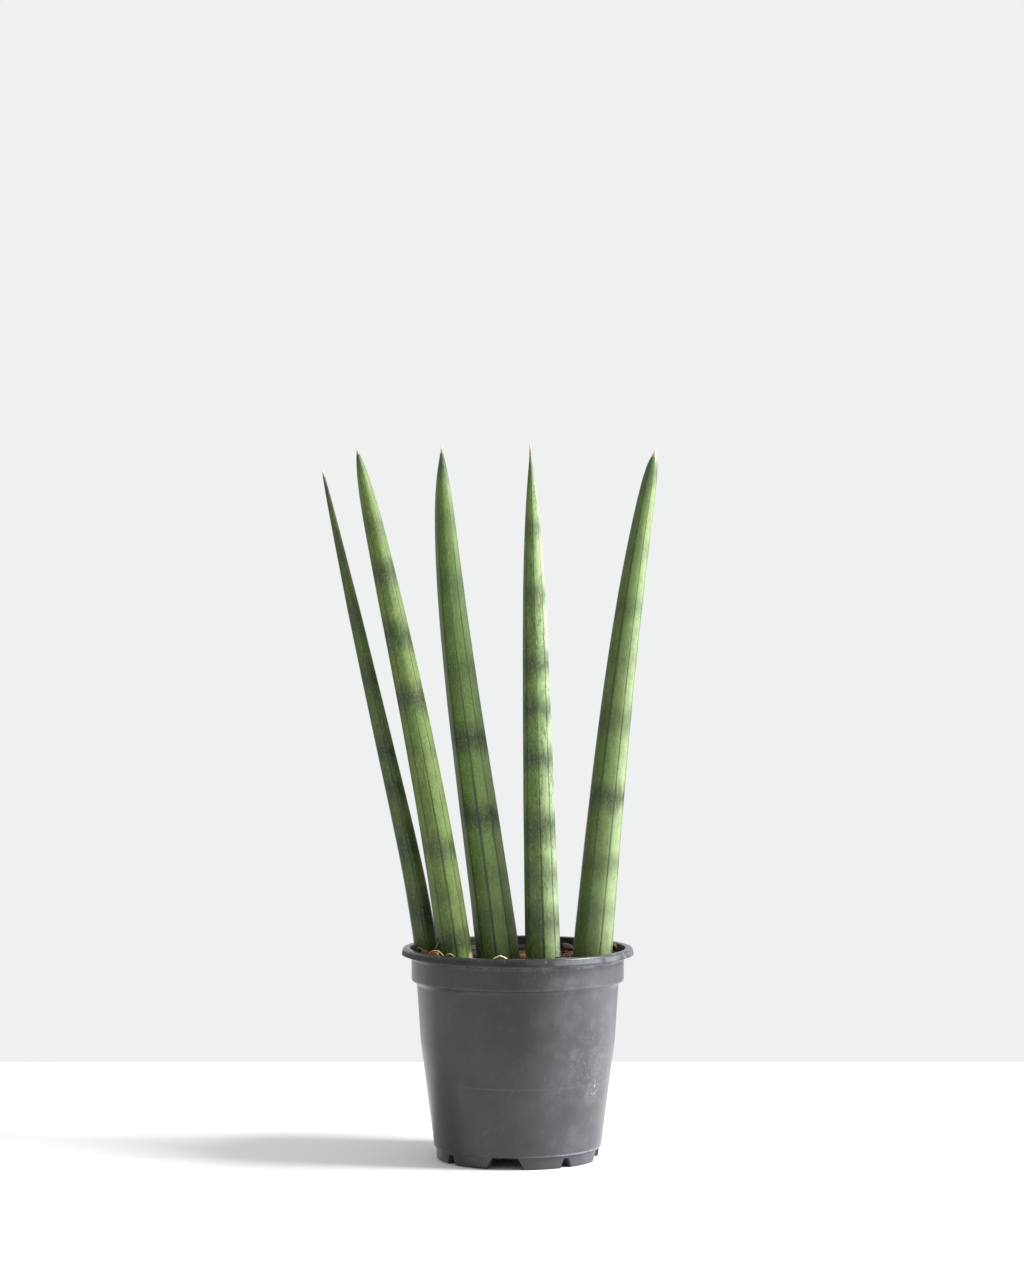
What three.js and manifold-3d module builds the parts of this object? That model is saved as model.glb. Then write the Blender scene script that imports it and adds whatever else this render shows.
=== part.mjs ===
// A potted snake plant: a moulded nursery pot, potting mix, a buried rootstock, five round
// spear leaves, and bark chips with a dry husk lying on the mix.
// Millimetres, +Z up, standing on Z = 0. Azimuths turn about the pot's axis from the front (-Y).

import * as THREE from 'three';
import { ConvexGeometry } from 'three/addons/geometries/ConvexGeometry.js';
import { mergeVertices } from 'three/addons/utils/BufferGeometryUtils.js';
import Module from 'manifold-3d';

const wasm = await Module();
wasm.setup();

// ---- driving dimensions ----

const potSides = 64;
const potHeight = 98;
const lipRadius = 54;
const lipHeight = 3.2;
const mouthRadius = 50.8;
const collarRadius = 49.4;
const collarTop = 92.8;
const collarBottom = 83.2;
const shoulderRadius = 46.9;
const shoulderHeight = 80;
const waistRadius = 45.1;
const waistHeight = 54;
const hemRadius = 38.8;
const hemHeight = 6;
const footRadius = 37.8;
const footThickness = 2.7;
const footRounding = 1.5;
const wall = 0.9;
const floorBottom = 4.8;
const floorTop = 6.2;

const gap = 0.3;
const soilLevel = 93.2;
const leafBase = 72;
const rhizomeHeight = 62;

const bigNotch = { azimuth: -9, top: 11.3, bottom: 17.6, height: 5.5, slot: 9, slotInner: 30 };
const smallNotch = { azimuth: 36, top: 3.8, bottom: 5.6, height: 4.2, slot: 4.5, slotInner: 32 };
const slotOuter = 36;
const cutDepth = 3;

// Each leaf is a stack of level circles on a Bezier curve from its buried base to its tip.
// girth is the base's width; taper is the power that thins the leaf towards its tip, and
// point is the length over which the tip itself narrows.
const leaves = [
  {
    name: 'leaf_1', girth: 10.4, taper: 0.5, point: 1,
    spine: [[-38.8, 1, leafBase], [-50.6, 1, 152], [-46, -2, 119], [-90.5, -3, 320]],
  },
  {
    name: 'leaf_2', girth: 16.1, taper: 0.29, point: 8.5,
    spine: [[-26.1, -9, leafBase], [-35.6, -12, 158], [-55.7, -11, 245], [-74.5, -8, 330.5]],
  },
  {
    name: 'leaf_3', girth: 20.6, taper: 0.37, point: 9.7,
    spine: [[-6.4, -2, leafBase], [-15.5, -2, 158], [-33.4, 0, 245], [-35.4, 4, 331.4]],
  },
  {
    name: 'leaf_4', girth: 16.3, taper: 0.34, point: 21,
    spine: [[12.5, -8, leafBase], [9.4, -11, 158], [8.4, -11, 245], [5.7, -8, 331.5]],
  },
  {
    name: 'leaf_5', girth: 19, taper: 0.33, point: 3.5,
    spine: [[32.5, -4, leafBase], [40.4, -4, 158], [47.2, 0, 244], [64.1, 6, 329.6]],
  },
];
const leafSides = 16;
const leafRings = 18;
const tipRadius = 0.45;
const neckDepth = 0.2;
const neckLength = 6;

// Bark chips on the mix: place, turn about the vertical and tilt in degrees, and
// length, width and thickness.
const chips = [
  { place: [-42.5, -12.5], turn: 20, tilt: 5, size: [5, 3.4, 2.2] },
  { place: [-38.5, 10.5], turn: 70, tilt: 15, size: [8, 3.6, 2.6] },
  { place: [-34, 17], turn: 10, tilt: 25, size: [9, 5, 2.4] },
  { place: [-38.5, -18], turn: 140, tilt: 10, size: [6.5, 3.2, 2] },
  { place: [1.8, -22], turn: 100, tilt: 0, size: [4.5, 3, 2.6] },
  { place: [23, 28], turn: 30, tilt: 12, size: [8, 5, 3] },
  { place: [44.5, 7], turn: 80, tilt: 30, size: [6.5, 4.2, 2.6] },
  { place: [36.5, 20], turn: 40, tilt: 8, size: [9, 5.4, 3.2] },
  { place: [-8, 27], turn: 15, tilt: 0, size: [9.5, 6, 3.2] },
  { place: [12, 36], turn: 100, tilt: 6, size: [7, 4.6, 2.8] },
  { place: [-27, 30], turn: 140, tilt: 0, size: [8, 5, 2.8] },
  { place: [20, -27], turn: 5, tilt: 4, size: [6.4, 4.6, 2.4] },
  { place: [44, 13.5], turn: 15, tilt: 68, size: [4.8, 2.6, 1.5] },
];
const husk = { place: [-8.5, -25], turn: 8, tilt: 0, size: [8.4, 2.8, 1.8] };

const colours = {
  pot: 0x2b2c2f,
  soil: 0x2a1e16,
  rootstock: 0xc9a36b,
  husk: 0xd9cba4,
  chips: [0x6b4226, 0x7a4a28, 0x8a5a35, 0x54351f],
  leaves: [0x4f5f3a, 0x58783a, 0x557441, 0x7f9d57, 0x6f9a4c],
};

// ---- solids from meshes, and back ----

function toManifold(geometry) {
  const bare = geometry.index ? geometry.toNonIndexed() : geometry.clone();
  bare.deleteAttribute('normal');
  bare.deleteAttribute('uv');
  const merged = mergeVertices(bare, 1e-4);
  const vertProperties = new Float32Array(merged.attributes.position.array);
  const triVerts = new Uint32Array(merged.index.array);
  return new wasm.Manifold(new wasm.Mesh({ numProp: 3, vertProperties, triVerts }));
}

function toGeometry(solid) {
  const mesh = solid.getMesh();
  const geometry = new THREE.BufferGeometry();
  geometry.setAttribute('position', new THREE.BufferAttribute(mesh.vertProperties, 3));
  geometry.setIndex(new THREE.BufferAttribute(mesh.triVerts, 1));
  geometry.computeVertexNormals();
  return geometry;
}

function lathe(profile, sides) {
  const points = profile.map(([radius, height]) => new THREE.Vector2(radius, height));
  return new THREE.LatheGeometry(points, sides).rotateX(Math.PI / 2);
}

function radians(degrees) {
  return THREE.MathUtils.degToRad(degrees);
}

// ---- the pot ----

// The wall's outer and inner outlines, from the hem above the foot to the mouth.
const outerWall = [
  [hemRadius - 0.3, hemHeight - 0.4],
  [hemRadius, hemHeight],
  [waistRadius, waistHeight],
  [shoulderRadius, shoulderHeight],
  [shoulderRadius + 0.7, collarBottom - 1.2],
  [collarRadius - 0.6, collarBottom - 0.5],
  [collarRadius, collarBottom + 0.6],
  [collarRadius, collarTop],
  [mouthRadius - 0.2, collarTop + 0.8],
  [mouthRadius, collarTop + 1.6],
];
const innerWall = [
  [mouthRadius - wall, collarTop + 1.2],
  [collarRadius - wall, collarTop - 0.2],
  [collarRadius - wall, collarBottom + 1.2],
  [shoulderRadius - wall, shoulderHeight + 1],
  [waistRadius - wall, waistHeight],
  [hemRadius - wall, hemHeight + 1.8],
  [hemRadius - 2 * wall, floorTop],
];

// The lip is hooked: a short skirt hangs outside the mouth, with a gap behind it.
function potProfile() {
  const foot = [
    [0, floorBottom],
    [footRadius - footThickness, floorBottom],
    [footRadius - footThickness, 0],
    [footRadius - footRounding, 0],
    [footRadius - 0.45 * footRounding, 0.2 * footRounding],
    [footRadius - 0.3, 0.8 * footRounding],
    [footRadius, hemHeight - 0.5],
  ];
  const lip = [
    [mouthRadius + 0.1, potHeight - wall],
    [lipRadius - wall - 0.5, potHeight - wall],
    [lipRadius - wall, potHeight - lipHeight],
    [lipRadius - 0.3, potHeight - lipHeight],
    [lipRadius, potHeight - lipHeight + 0.5],
    [lipRadius - 0.3, potHeight - 1.1],
    [lipRadius - 0.8, potHeight - 0.3],
    [lipRadius - 1.6, potHeight],
    [mouthRadius - 0.2, potHeight],
    [mouthRadius - wall, potHeight - 0.8],
  ];
  return [...foot, ...outerWall, ...lip, ...innerWall, [0, floorTop]];
}

// A block with a trapezium face, standing across the front of the foot and facing outwards.
function notchBlock(notch) {
  const face = new THREE.Shape();
  face.moveTo(-notch.bottom / 2, 0);
  face.lineTo(-notch.bottom / 2 - 0.6, -cutDepth);
  face.lineTo(notch.bottom / 2 + 0.6, -cutDepth);
  face.lineTo(notch.bottom / 2, 0);
  face.lineTo(notch.top / 2 + 0.3, notch.height - 0.7);
  face.lineTo(notch.top / 2 - 0.6, notch.height);
  face.lineTo(-notch.top / 2 + 0.6, notch.height);
  face.lineTo(-notch.top / 2 - 0.3, notch.height - 0.7);
  const inner = footRadius - footThickness - cutDepth;
  const block = new THREE.ExtrudeGeometry(face, { depth: 2 * cutDepth + 1, bevelEnabled: false });
  return block.translate(0, 0, inner).rotateX(Math.PI / 2);
}

function slotBlock(notch) {
  const depth = slotOuter - notch.slotInner;
  const block = new THREE.BoxGeometry(notch.slot, depth, floorTop - floorBottom + cutDepth);
  return block.translate(0, -(notch.slotInner + slotOuter) / 2, (floorTop + floorBottom) / 2);
}

function potGeometry() {
  let solid = toManifold(lathe(potProfile(), potSides));
  for (const notch of [bigNotch, smallNotch]) {
    for (const quarter of [0, 90, 180, 270]) {
      const turn = radians(notch.azimuth + quarter);
      solid = solid.subtract(toManifold(notchBlock(notch).rotateZ(turn)));
      solid = solid.subtract(toManifold(slotBlock(notch).rotateZ(turn)));
    }
  }
  return toGeometry(solid);
}

// ---- leaves ----

// The leaf's width at a height: thin at the tip, and necked where it joins the rootstock.
function leafWidth(leaf, height) {
  const top = leaf.spine[3][2];
  const drop = top - height;
  const taper = Math.pow(drop / (top - leafBase), leaf.taper);
  const neck = 1 - neckDepth * Math.exp((leafBase - height) / neckLength);
  return leaf.girth * taper * (1 - Math.exp(-drop / leaf.point)) * neck;
}

// A leaf's closed surface. grow pushes it outwards on every side, for the hole it stands in.
function leafGeometry(leaf, grow = 0) {
  const curve = new THREE.CubicBezierCurve3(...leaf.spine.map((point) => new THREE.Vector3(...point)));
  const profile = [[0, 0]];
  const centres = [curve.getPoint(0)];
  for (let ring = 0; ring <= leafRings; ring += 1) {
    const share = 1 - Math.pow(1 - ring / leafRings, 1.7);
    const centre = curve.getPoint(share);
    const width = leafWidth(leaf, centre.z);
    profile.push([Math.max(width / 2, tipRadius) + grow, ring]);
    centres.push(centre);
  }
  profile.push([0, leafRings]);
  centres.push(curve.getPoint(1));
  const geometry = lathe(profile, leafSides);
  const position = geometry.attributes.position;
  const rings = profile.length;
  for (let i = 0; i < position.count; i += 1) {
    const centre = centres[i % rings];
    const height = i % rings < 2 ? centre.z - grow : centre.z;
    position.setXYZ(i, position.getX(i) + centre.x, position.getY(i) + centre.y, height);
  }
  return geometry;
}

// ---- the rootstock ----

// The rhizome runs level under the row of leaves, with a stub up to each leaf's base and
// thin roots reaching down into the mix.
function rootstockSolid(grow = 0) {
  const bases = leaves.map((leaf) => new THREE.Vector3(leaf.spine[0][0], leaf.spine[0][1], rhizomeHeight));
  const run = new THREE.CatmullRomCurve3(bases);
  let solid = toManifold(tube(run, 5 + grow, 8, 12));
  leaves.forEach((leaf, index) => {
    const { x, y, z } = bases[index];
    const knuckle = new THREE.SphereGeometry(leaf.girth * 0.38 + grow, 8, 6).rotateX(Math.PI / 2);
    solid = solid.add(toManifold(knuckle.translate(x, y, z)));
    const top = leafBase - gap + grow;
    const stub = new THREE.CylinderGeometry(leaf.girth * 0.4 + grow, leaf.girth * 0.32 + grow, top - z, 8);
    solid = solid.add(toManifold(stub.rotateX(Math.PI / 2).translate(x, y, (top + z) / 2)));
    for (const side of [-1, 1]) {
      const root = new THREE.CatmullRomCurve3([
        new THREE.Vector3(x, y, z),
        new THREE.Vector3(x * 0.95 + side * 3, y + side * 9, z - 12),
        new THREE.Vector3(x * 0.8 - side * 2, y + side * 13, z - 28),
        new THREE.Vector3(x * 0.72 + side * 4, y + side * 11, z - 44),
      ]);
      solid = solid.add(toManifold(tube(root, 1.1 + grow, 5, 4)));
    }
  });
  return solid;
}

function tube(path, radius, sides, steps) {
  const section = new THREE.Shape();
  for (let side = 0; side < sides; side += 1) {
    const turn = (2 * Math.PI * side) / sides;
    const x = radius * Math.cos(turn);
    const y = radius * Math.sin(turn);
    side === 0 ? section.moveTo(x, y) : section.lineTo(x, y);
  }
  return new THREE.ExtrudeGeometry(section, { extrudePath: path, steps });
}

// ---- the potting mix ----

// How far the mix stands above its level: mounds beside the outer leaves and in front of the
// middle one, a dip at the back, and a crumbly ripple all over.
function mound(x, y) {
  const left = 2.6 * Math.exp(-(((x + 44) / 11) ** 2 + ((y + 4) / 20) ** 2));
  const right = 1.9 * Math.exp(-(((x - 42) / 12) ** 2 + ((y - 12) / 18) ** 2));
  const front = 1.6 * Math.exp(-(((x + 4) / 18) ** 2 + ((y + 27) / 9) ** 2));
  const dip = 1.5 * Math.exp(-(((x - 2) / 22) ** 2 + ((y - 30) / 14) ** 2));
  const ripple = 0.45 * Math.sin(0.41 * x + 1.3) * Math.cos(0.37 * y - 0.6);
  return left + right + front - dip + ripple;
}

function soilSurface(x, y) {
  return soilLevel + mound(x, y);
}

function soilSolid() {
  const rings = [45.6, 42, 37, 31.5, 25.5, 19, 12, 5];
  const wallLine = innerWall.map(([radius, height]) => [radius - gap, height]).reverse();
  const side = wallLine.filter(([, height]) => height < collarTop - 1);
  side[0] = [hemRadius - 2 * wall - gap, floorTop + gap];
  const edge = [collarRadius - wall - gap, soilLevel];
  const top = rings.map((radius) => [radius, soilLevel]);
  const profile = [[0, floorTop + gap], ...side, edge, ...top, [0, soilLevel]];
  const geometry = lathe(profile, 48);
  const position = geometry.attributes.position;
  for (let i = 0; i < position.count; i += 1) {
    if (position.getZ(i) > soilLevel - 0.01) {
      position.setZ(i, soilSurface(position.getX(i), position.getY(i)));
    }
  }
  let solid = toManifold(geometry);
  for (const leaf of leaves) {
    solid = solid.subtract(toManifold(leafGeometry(leaf, gap)));
  }
  return solid.subtract(rootstockSolid(gap));
}

// ---- bark chips and the husk ----

// A small repeatable generator, so that every build gives the same chips.
function numberStream(seed) {
  let state = seed;
  return () => {
    state = (state * 1664525 + 1013904223) % 4294967296;
    return state / 4294967296;
  };
}

// A splintered flake: the hull of a box's corners and edge points, each pulled in a little,
// turned and tilted as it lies.
function chipGeometry(chip, seed) {
  const [length, width, thickness] = chip.size;
  const random = numberStream(seed);
  const points = [];
  for (const x of [-1, 0, 1]) {
    for (const y of [-1, 1]) {
      for (const z of [-1, 1]) {
        const pull = 0.62 + 0.38 * random();
        const end = x === 0 ? 1 : 0.75;
        const across = y * width * 0.5 * pull * end;
        points.push(new THREE.Vector3(x * length * 0.5 * pull, across, z * thickness * 0.5 * end));
      }
    }
  }
  return new ConvexGeometry(points).rotateY(radians(chip.tilt)).rotateZ(radians(chip.turn));
}

// The height at which a chip lies just clear of the highest mix under it.
function restingHeight(chip, geometry) {
  geometry.computeBoundingBox();
  const { min, max } = geometry.boundingBox;
  let highest = 0;
  for (const x of [min.x, 0, max.x]) {
    for (const y of [min.y, 0, max.y]) {
      highest = Math.max(highest, soilSurface(chip.place[0] + x, chip.place[1] + y));
    }
  }
  return highest - min.z + gap;
}

// ---- the whole plant ----

const plant = new THREE.Group();

function addMesh(name, geometry, colour, roughness) {
  const material = new THREE.MeshStandardMaterial({ color: colour, roughness, metalness: 0 });
  const mesh = new THREE.Mesh(geometry, material);
  mesh.name = name;
  plant.add(mesh);
  return mesh;
}

function addChip(name, chip, seed, colour) {
  const geometry = chipGeometry(chip, seed);
  const mesh = addMesh(name, geometry, colour, 0.9);
  mesh.position.set(chip.place[0], chip.place[1], restingHeight(chip, geometry));
}

addMesh('pot', potGeometry(), colours.pot, 0.55);
addMesh('soil', toGeometry(soilSolid()), colours.soil, 1);
addMesh('rootstock', toGeometry(rootstockSolid()), colours.rootstock, 0.8);
leaves.forEach((leaf, index) => {
  addMesh(leaf.name, leafGeometry(leaf), colours.leaves[index], 0.45);
});
chips.forEach((chip, index) => {
  addChip(`bark_chip_${index + 1}`, chip, 11 + 7 * index, colours.chips[index % colours.chips.length]);
});
addChip('dry_husk', husk, 97, colours.husk);

// The leaves lean further to one side of the pot than to the other, so the plant is moved
// sideways until the origin is at the middle of its whole width.
const extent = new THREE.Box3().setFromObject(plant);
plant.position.x = -(extent.min.x + extent.max.x) / 2;

export default plant;
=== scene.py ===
"""A round-leaved snake plant in its nursery pot: the finish of every piece.

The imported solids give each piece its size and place, in metres, +Z up. Azimuths turn about the
pot's axis from the front (-Y) towards +X.
"""

import math

import bmesh
import bpy
import numpy as np
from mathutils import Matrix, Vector, noise
from mathutils.bvhtree import BVHTree


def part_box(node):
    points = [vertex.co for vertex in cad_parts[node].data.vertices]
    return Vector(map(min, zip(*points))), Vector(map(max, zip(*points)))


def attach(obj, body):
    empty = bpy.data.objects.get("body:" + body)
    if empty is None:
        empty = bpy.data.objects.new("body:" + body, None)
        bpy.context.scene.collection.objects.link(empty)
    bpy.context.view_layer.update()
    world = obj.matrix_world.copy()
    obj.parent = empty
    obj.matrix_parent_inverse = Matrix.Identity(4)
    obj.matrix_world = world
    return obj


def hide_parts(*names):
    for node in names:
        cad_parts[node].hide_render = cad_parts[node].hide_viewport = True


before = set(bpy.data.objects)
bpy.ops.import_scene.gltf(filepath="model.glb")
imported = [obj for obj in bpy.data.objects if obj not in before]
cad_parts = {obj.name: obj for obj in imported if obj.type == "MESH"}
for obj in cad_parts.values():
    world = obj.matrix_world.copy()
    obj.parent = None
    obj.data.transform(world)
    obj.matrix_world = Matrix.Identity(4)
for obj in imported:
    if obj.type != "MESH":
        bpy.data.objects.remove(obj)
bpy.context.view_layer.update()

bl_info = {
    "name": "Potted snake plant",
    "version": (1, 0, 0),
    "blender": (4, 5, 0),
    "location": "3D Viewport > Sidebar > Snake plant",
    "description": "Builds a round-leaved snake plant in its nursery pot around the packed solids",
    "category": "Add Mesh",
}

MM = 0.001
POT_LOW, POT_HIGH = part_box("pot")
AXIS = Vector(((POT_LOW.x + POT_HIGH.x) / 2, (POT_LOW.y + POT_HIGH.y) / 2, 0))
LIP_RADIUS = (POT_HIGH.x - POT_LOW.x) / 2
SOIL_LOW, SOIL_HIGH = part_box("soil")
SOIL_RADIUS = (SOIL_HIGH.x - SOIL_LOW.x) / 2


# ---- settings that a user would change ----

def length(name, millimetres, description):
    return bpy.props.FloatProperty(
        name=name, description=description, default=millimetres * MM, precision=4, unit="LENGTH"
    )


def angle(name, degrees, description):
    return bpy.props.FloatProperty(
        name=name, description=description, default=math.radians(degrees), unit="ROTATION"
    )


def share(name, default, description):
    return bpy.props.FloatProperty(
        name=name, description=description, default=default, min=0, max=1, subtype="FACTOR"
    )


def colour(name, red, green, blue, description):
    return bpy.props.FloatVectorProperty(
        name=name, description=description, default=(red, green, blue), min=0, max=1,
        subtype="COLOR",
    )


def count(name, default, description):
    return bpy.props.IntProperty(name=name, description=description, default=default, min=0)


def strength(name, default, description):
    return bpy.props.FloatProperty(name=name, description=description, default=default, min=0)


class PotSettings(bpy.types.PropertyGroup):
    """Sizes and colours of the moulded pot."""

    lip_radius: length("Lip radius", LIP_RADIUS / MM, "Outer radius of the lip")
    height: length("Height", POT_HIGH.z / MM, "Height of the lip above the ground")
    lip_drop: length("Lip drop", 3.2, "How far the lip's skirt hangs down")
    mouth_radius: length("Mouth radius", 50.8, "Outer radius of the wall under the lip")
    collar_radius: length("Collar radius", 49.4, "Outer radius of the collar")
    collar_top: length("Collar top", 92.8, "Height at which the wall flares out to the mouth")
    collar_bottom: length("Collar bottom", 83.2, "Height of the ledge under the collar")
    shoulder_radius: length("Shoulder radius", 46.9, "Outer radius just under the ledge")
    waist_radius: length("Waist radius", 45.1, "Outer radius where the taper changes")
    waist_height: length("Waist height", 54, "Height at which the taper changes")
    tide: length("Water mark", 37.5, "Height of the faint water mark round the wall")
    hem_radius: length("Hem radius", 38.8, "Outer radius of the wall's bottom edge")
    hem_height: length("Hem height", 6, "Height of the wall's bottom edge over the foot")
    foot_radius: length("Foot radius", 37.8, "Outer radius of the foot ring")
    foot_width: length("Foot width", 2.7, "Thickness of the foot ring")
    wall: length("Wall", 0.9, "Thickness of the wall")
    floor_bottom: length("Floor bottom", 4.8, "Height of the floor's underside")
    floor_top: length("Floor top", 6.2, "Height of the floor's upper side")
    plastic: colour("Plastic", 0.019, 0.018, 0.020, "Charcoal plastic")
    # One pale colour for the dust and scuffs and for the painted highlights on the pot's front and
    # right.
    dust_and_sheen: colour("Dust", 0.36, 0.40, 0.46, "Dry dust, scuffs and water marks")


class LeafSettings(bpy.types.PropertyGroup):
    """Shape and colours that the leaves share."""

    flatness: share("Flatness", 0.6, "How flat the skin is between two ribs")
    groove_depth: length("Groove depth", 0.22, "Depth of the dark line along each rib")
    groove_width: length("Groove width", 0.26, "Half width of the dark line along each rib")
    # The pale green serves both the skin's pale clouds and the painted light on the side towards the
    # window; the colour after it is the pale painted highlight laid on that side.
    pale: colour("Pale green", 0.215, 0.310, 0.090, "The paler, sunny side")
    painted_highlight: colour("Bloom", 0.52, 0.62, 0.44, "The waxy bloom on the palest skin")
    green: colour("Green", 0.058, 0.100, 0.012, "The body of the leaf")
    dark: colour("Dark green", 0.017, 0.029, 0.015, "The dark cross bands")
    line: colour("Line", 0.012, 0.023, 0.012, "The dark line along each rib")
    spine: colour("Spine", 0.62, 0.50, 0.34, "The dry point at the tip")


class MixSettings(bpy.types.PropertyGroup):
    """The potting mix and what lies on it."""

    crumbs: strength("Crumbs", 0.42, "Crumbs of mix on each square millimetre")
    fibres: strength("Fibres", 0.07, "Coir fibres on each square millimetre")
    bits: strength("Bark bits", 0.035, "Small bits of bark on each square millimetre")
    seed: count("Seed", 7, "Seed of the scattered pieces")
    mix: colour("Mix", 0.020, 0.012, 0.008, "Damp mix")
    dry: colour("Dry mix", 0.085, 0.048, 0.026, "Drier crumbs")
    fibre: colour("Fibre", 0.36, 0.20, 0.10, "Coir fibre")
    bark: colour("Bark", 0.19, 0.092, 0.046, "Bark chips")
    coir: colour("Coir strands", 0.26, 0.165, 0.098, "The long dry strands on the mix")
    husk: colour("Husk", 0.72, 0.56, 0.38, "The dry scrap of leaf husk")
    root: colour("Root", 0.55, 0.33, 0.14, "The buried rootstock")


class StageSettings(bpy.types.PropertyGroup):
    """Table, light and camera."""

    table: colour("Table", 0.92, 0.92, 0.92, "White table top")
    wall: colour("Wall", 0.868, 0.876, 0.880, "What the camera sees past the table")
    room: strength("Room light", 0.69, "Light from the room on every side")
    window: strength("Window light", 36.0, "Power of the soft window light, in watts")
    camera_away: length("Camera distance", 1690, "How far the camera stands from the pot's axis")
    camera_height: length("Camera height", 280, "Height of the camera above the table")
    camera_pitch: angle("Camera pitch", 1.327, "How far the camera looks down")
    table_behind: length("Table behind", 319, "How far the table reaches behind the pot's axis")


# ---- node trees written as expressions ----

class Channel:
    """One value in a node tree. Arithmetic with channels and numbers adds Math nodes."""

    def __init__(self, network, socket):
        self.network = network
        self.socket = socket

    def math(self, operation, *values):
        settings = {"operation": operation}
        return self.network.node("ShaderNodeMath", settings, dict(enumerate(values)))

    def __add__(self, other):
        return self.math("ADD", self, other)

    def __sub__(self, other):
        return self.math("SUBTRACT", self, other)

    def __rsub__(self, other):
        return self.math("SUBTRACT", other, self)

    def __mul__(self, other):
        return self.math("MULTIPLY", self, other)

    def __truediv__(self, other):
        return self.math("DIVIDE", self, other)

    def __pow__(self, other):
        return self.math("POWER", self, other)

    __radd__ = __add__
    __rmul__ = __mul__

    def over(self, other):
        return self.math("GREATER_THAN", self, other)

    def most(self, other):
        return self.math("MAXIMUM", self, other)

    def least(self, other):
        return self.math("MINIMUM", self, other)

    def step(self, low, high):
        """0 up to low, 1 from high on, and smooth between."""
        sockets = {"Value": self, "From Min": low, "From Max": high}
        return self.network.node("ShaderNodeMapRange", {"interpolation_type": "SMOOTHSTEP"}, sockets)

    def between(self, low, full, fading, high):
        """1 from full to fading, falling smoothly to 0 at low and at high."""
        return self.step(low, full) * (1 - self.step(fading, high))


class Network:
    """A node tree that is written node by node."""

    def __init__(self, tree):
        self.tree = tree

    def node(self, kind, settings=None, sockets=None, output=0):
        made = self.tree.nodes.new(kind)
        for name, value in (settings or {}).items():
            if name == "stops":
                set_stops(made.color_ramp, value)
            else:
                setattr(made, name, value)
        for key, value in (sockets or {}).items():
            self.feed(made.inputs[key], value)
        return Channel(self, made.outputs[output])

    def feed(self, socket, value):
        if isinstance(value, Channel):
            self.tree.links.new(value.socket, socket)
        elif socket.type == "RGBA":
            socket.default_value = (*value[:3], 1)
        else:
            socket.default_value = value

    def vector_math(self, operation, vector, other):
        return self.node("ShaderNodeVectorMath", {"operation": operation}, {0: vector, 1: other})

    def scaled(self, vector, factors):
        return self.vector_math("MULTIPLY", vector, factors)

    def parts(self, vector):
        """The X, Y and Z of a vector."""
        split = self.node("ShaderNodeSeparateXYZ", None, {0: vector})
        return [Channel(self, socket) for socket in split.socket.node.outputs]

    def noise(self, vector, scale, detail=2.0, roughness=0.5, seed=0.0):
        """Soft noise from 0 to 1, in features of about 1 / scale metres."""
        sockets = {"Vector": vector, "W": seed, "Scale": scale, "Detail": detail, "Roughness": roughness}
        return self.node("ShaderNodeTexNoise", {"noise_dimensions": "4D"}, sockets)


def set_stops(ramp, stops):
    """Gives a ramp its (position, value) stops, in grey."""
    while len(ramp.elements) > 1:
        ramp.elements.remove(ramp.elements[-1])
    for number, (position, value) in enumerate(stops):
        element = ramp.elements[0] if number == 0 else ramp.elements.new(position)
        element.position = position
        element.color = (value, value, value, 1)


class Finish(Network):
    """A material being made: its colours are mixed here and fed to one Principled shader."""

    def __init__(self, name, constants):
        self.material = bpy.data.materials.new(name)
        self.material.use_nodes = True
        super().__init__(self.material.node_tree)
        self.tree.nodes.clear()
        self.shader = self.tree.nodes.new("ShaderNodeBsdfPrincipled")
        output = self.tree.nodes.new("ShaderNodeOutputMaterial")
        self.tree.links.new(self.shader.outputs["BSDF"], output.inputs["Surface"])
        for socket, value in constants.items():
            self.feed(self.shader.inputs[socket], value)
        self.place = self.node("ShaderNodeTexCoord", output="Object")

    def grain(self, scale, stretch=(1, 1, 1), **more):
        """Noise on the piece's own coordinates, drawn out where stretch is small."""
        return self.noise(self.scaled(self.place, stretch), scale, **more)

    def blend(self, amount, under, over):
        """The colour under, covered by the colour over where amount is 1."""
        return self.node("ShaderNodeMix", {"data_type": "RGBA"}, {0: amount, 6: under, 7: over}, 2)

    def tone(self, base, amount):
        """base made darker where amount is under 1 and lighter where it is over 1."""
        colour_of = self.node("ShaderNodeCombineColor", None, {0: amount, 1: amount, 2: amount})
        settings = {"data_type": "RGBA", "blend_type": "MULTIPLY"}
        return self.node("ShaderNodeMix", settings, {0: 1.0, 6: base, 7: colour_of}, 2)

    def attribute(self, name, output="Fac"):
        """What the mesh stores under a name."""
        return self.node("ShaderNodeAttribute", {"attribute_name": name}, output=output)

    def away_from(self, spot):
        """Distance from a spot, in metres."""
        sockets = {0: self.place, 1: spot}
        return self.node("ShaderNodeVectorMath", {"operation": "DISTANCE"}, sockets, "Value")

    def bump(self, height, distance):
        sockets = {"Strength": 1.0, "Distance": distance, "Height": height}
        return self.node("ShaderNodeBump", None, sockets)

    def wear(self, colour_of, roughness, normal):
        """Feeds what changes over the surface, and gives back the material."""
        for socket, value in (("Base Color", colour_of), ("Roughness", roughness), ("Normal", normal)):
            self.feed(self.shader.inputs[socket], value)
        return self.material


# ---- meshes ----

def add_object(name, data):
    """A new object at the origin, in the scene."""
    made = bpy.data.objects.new(name, data)
    bpy.context.scene.collection.objects.link(made)
    return made


def mesh_of(shape, name):
    """A bmesh turned into a mesh, and let go."""
    mesh = bpy.data.meshes.new(name)
    shape.to_mesh(mesh)
    shape.free()
    return mesh


def store(mesh, name, values):
    """Keeps one number for each point of the mesh, for its finish."""
    attribute = mesh.attributes.new(name, "FLOAT", "POINT")
    attribute.data.foreach_set("value", np.asarray(values, dtype=np.float32))


def applied(piece):
    """A plain mesh of the piece with its modifiers' result."""
    graph = bpy.context.evaluated_depsgraph_get()
    return bpy.data.meshes.new_from_object(piece.evaluated_get(graph))


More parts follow.
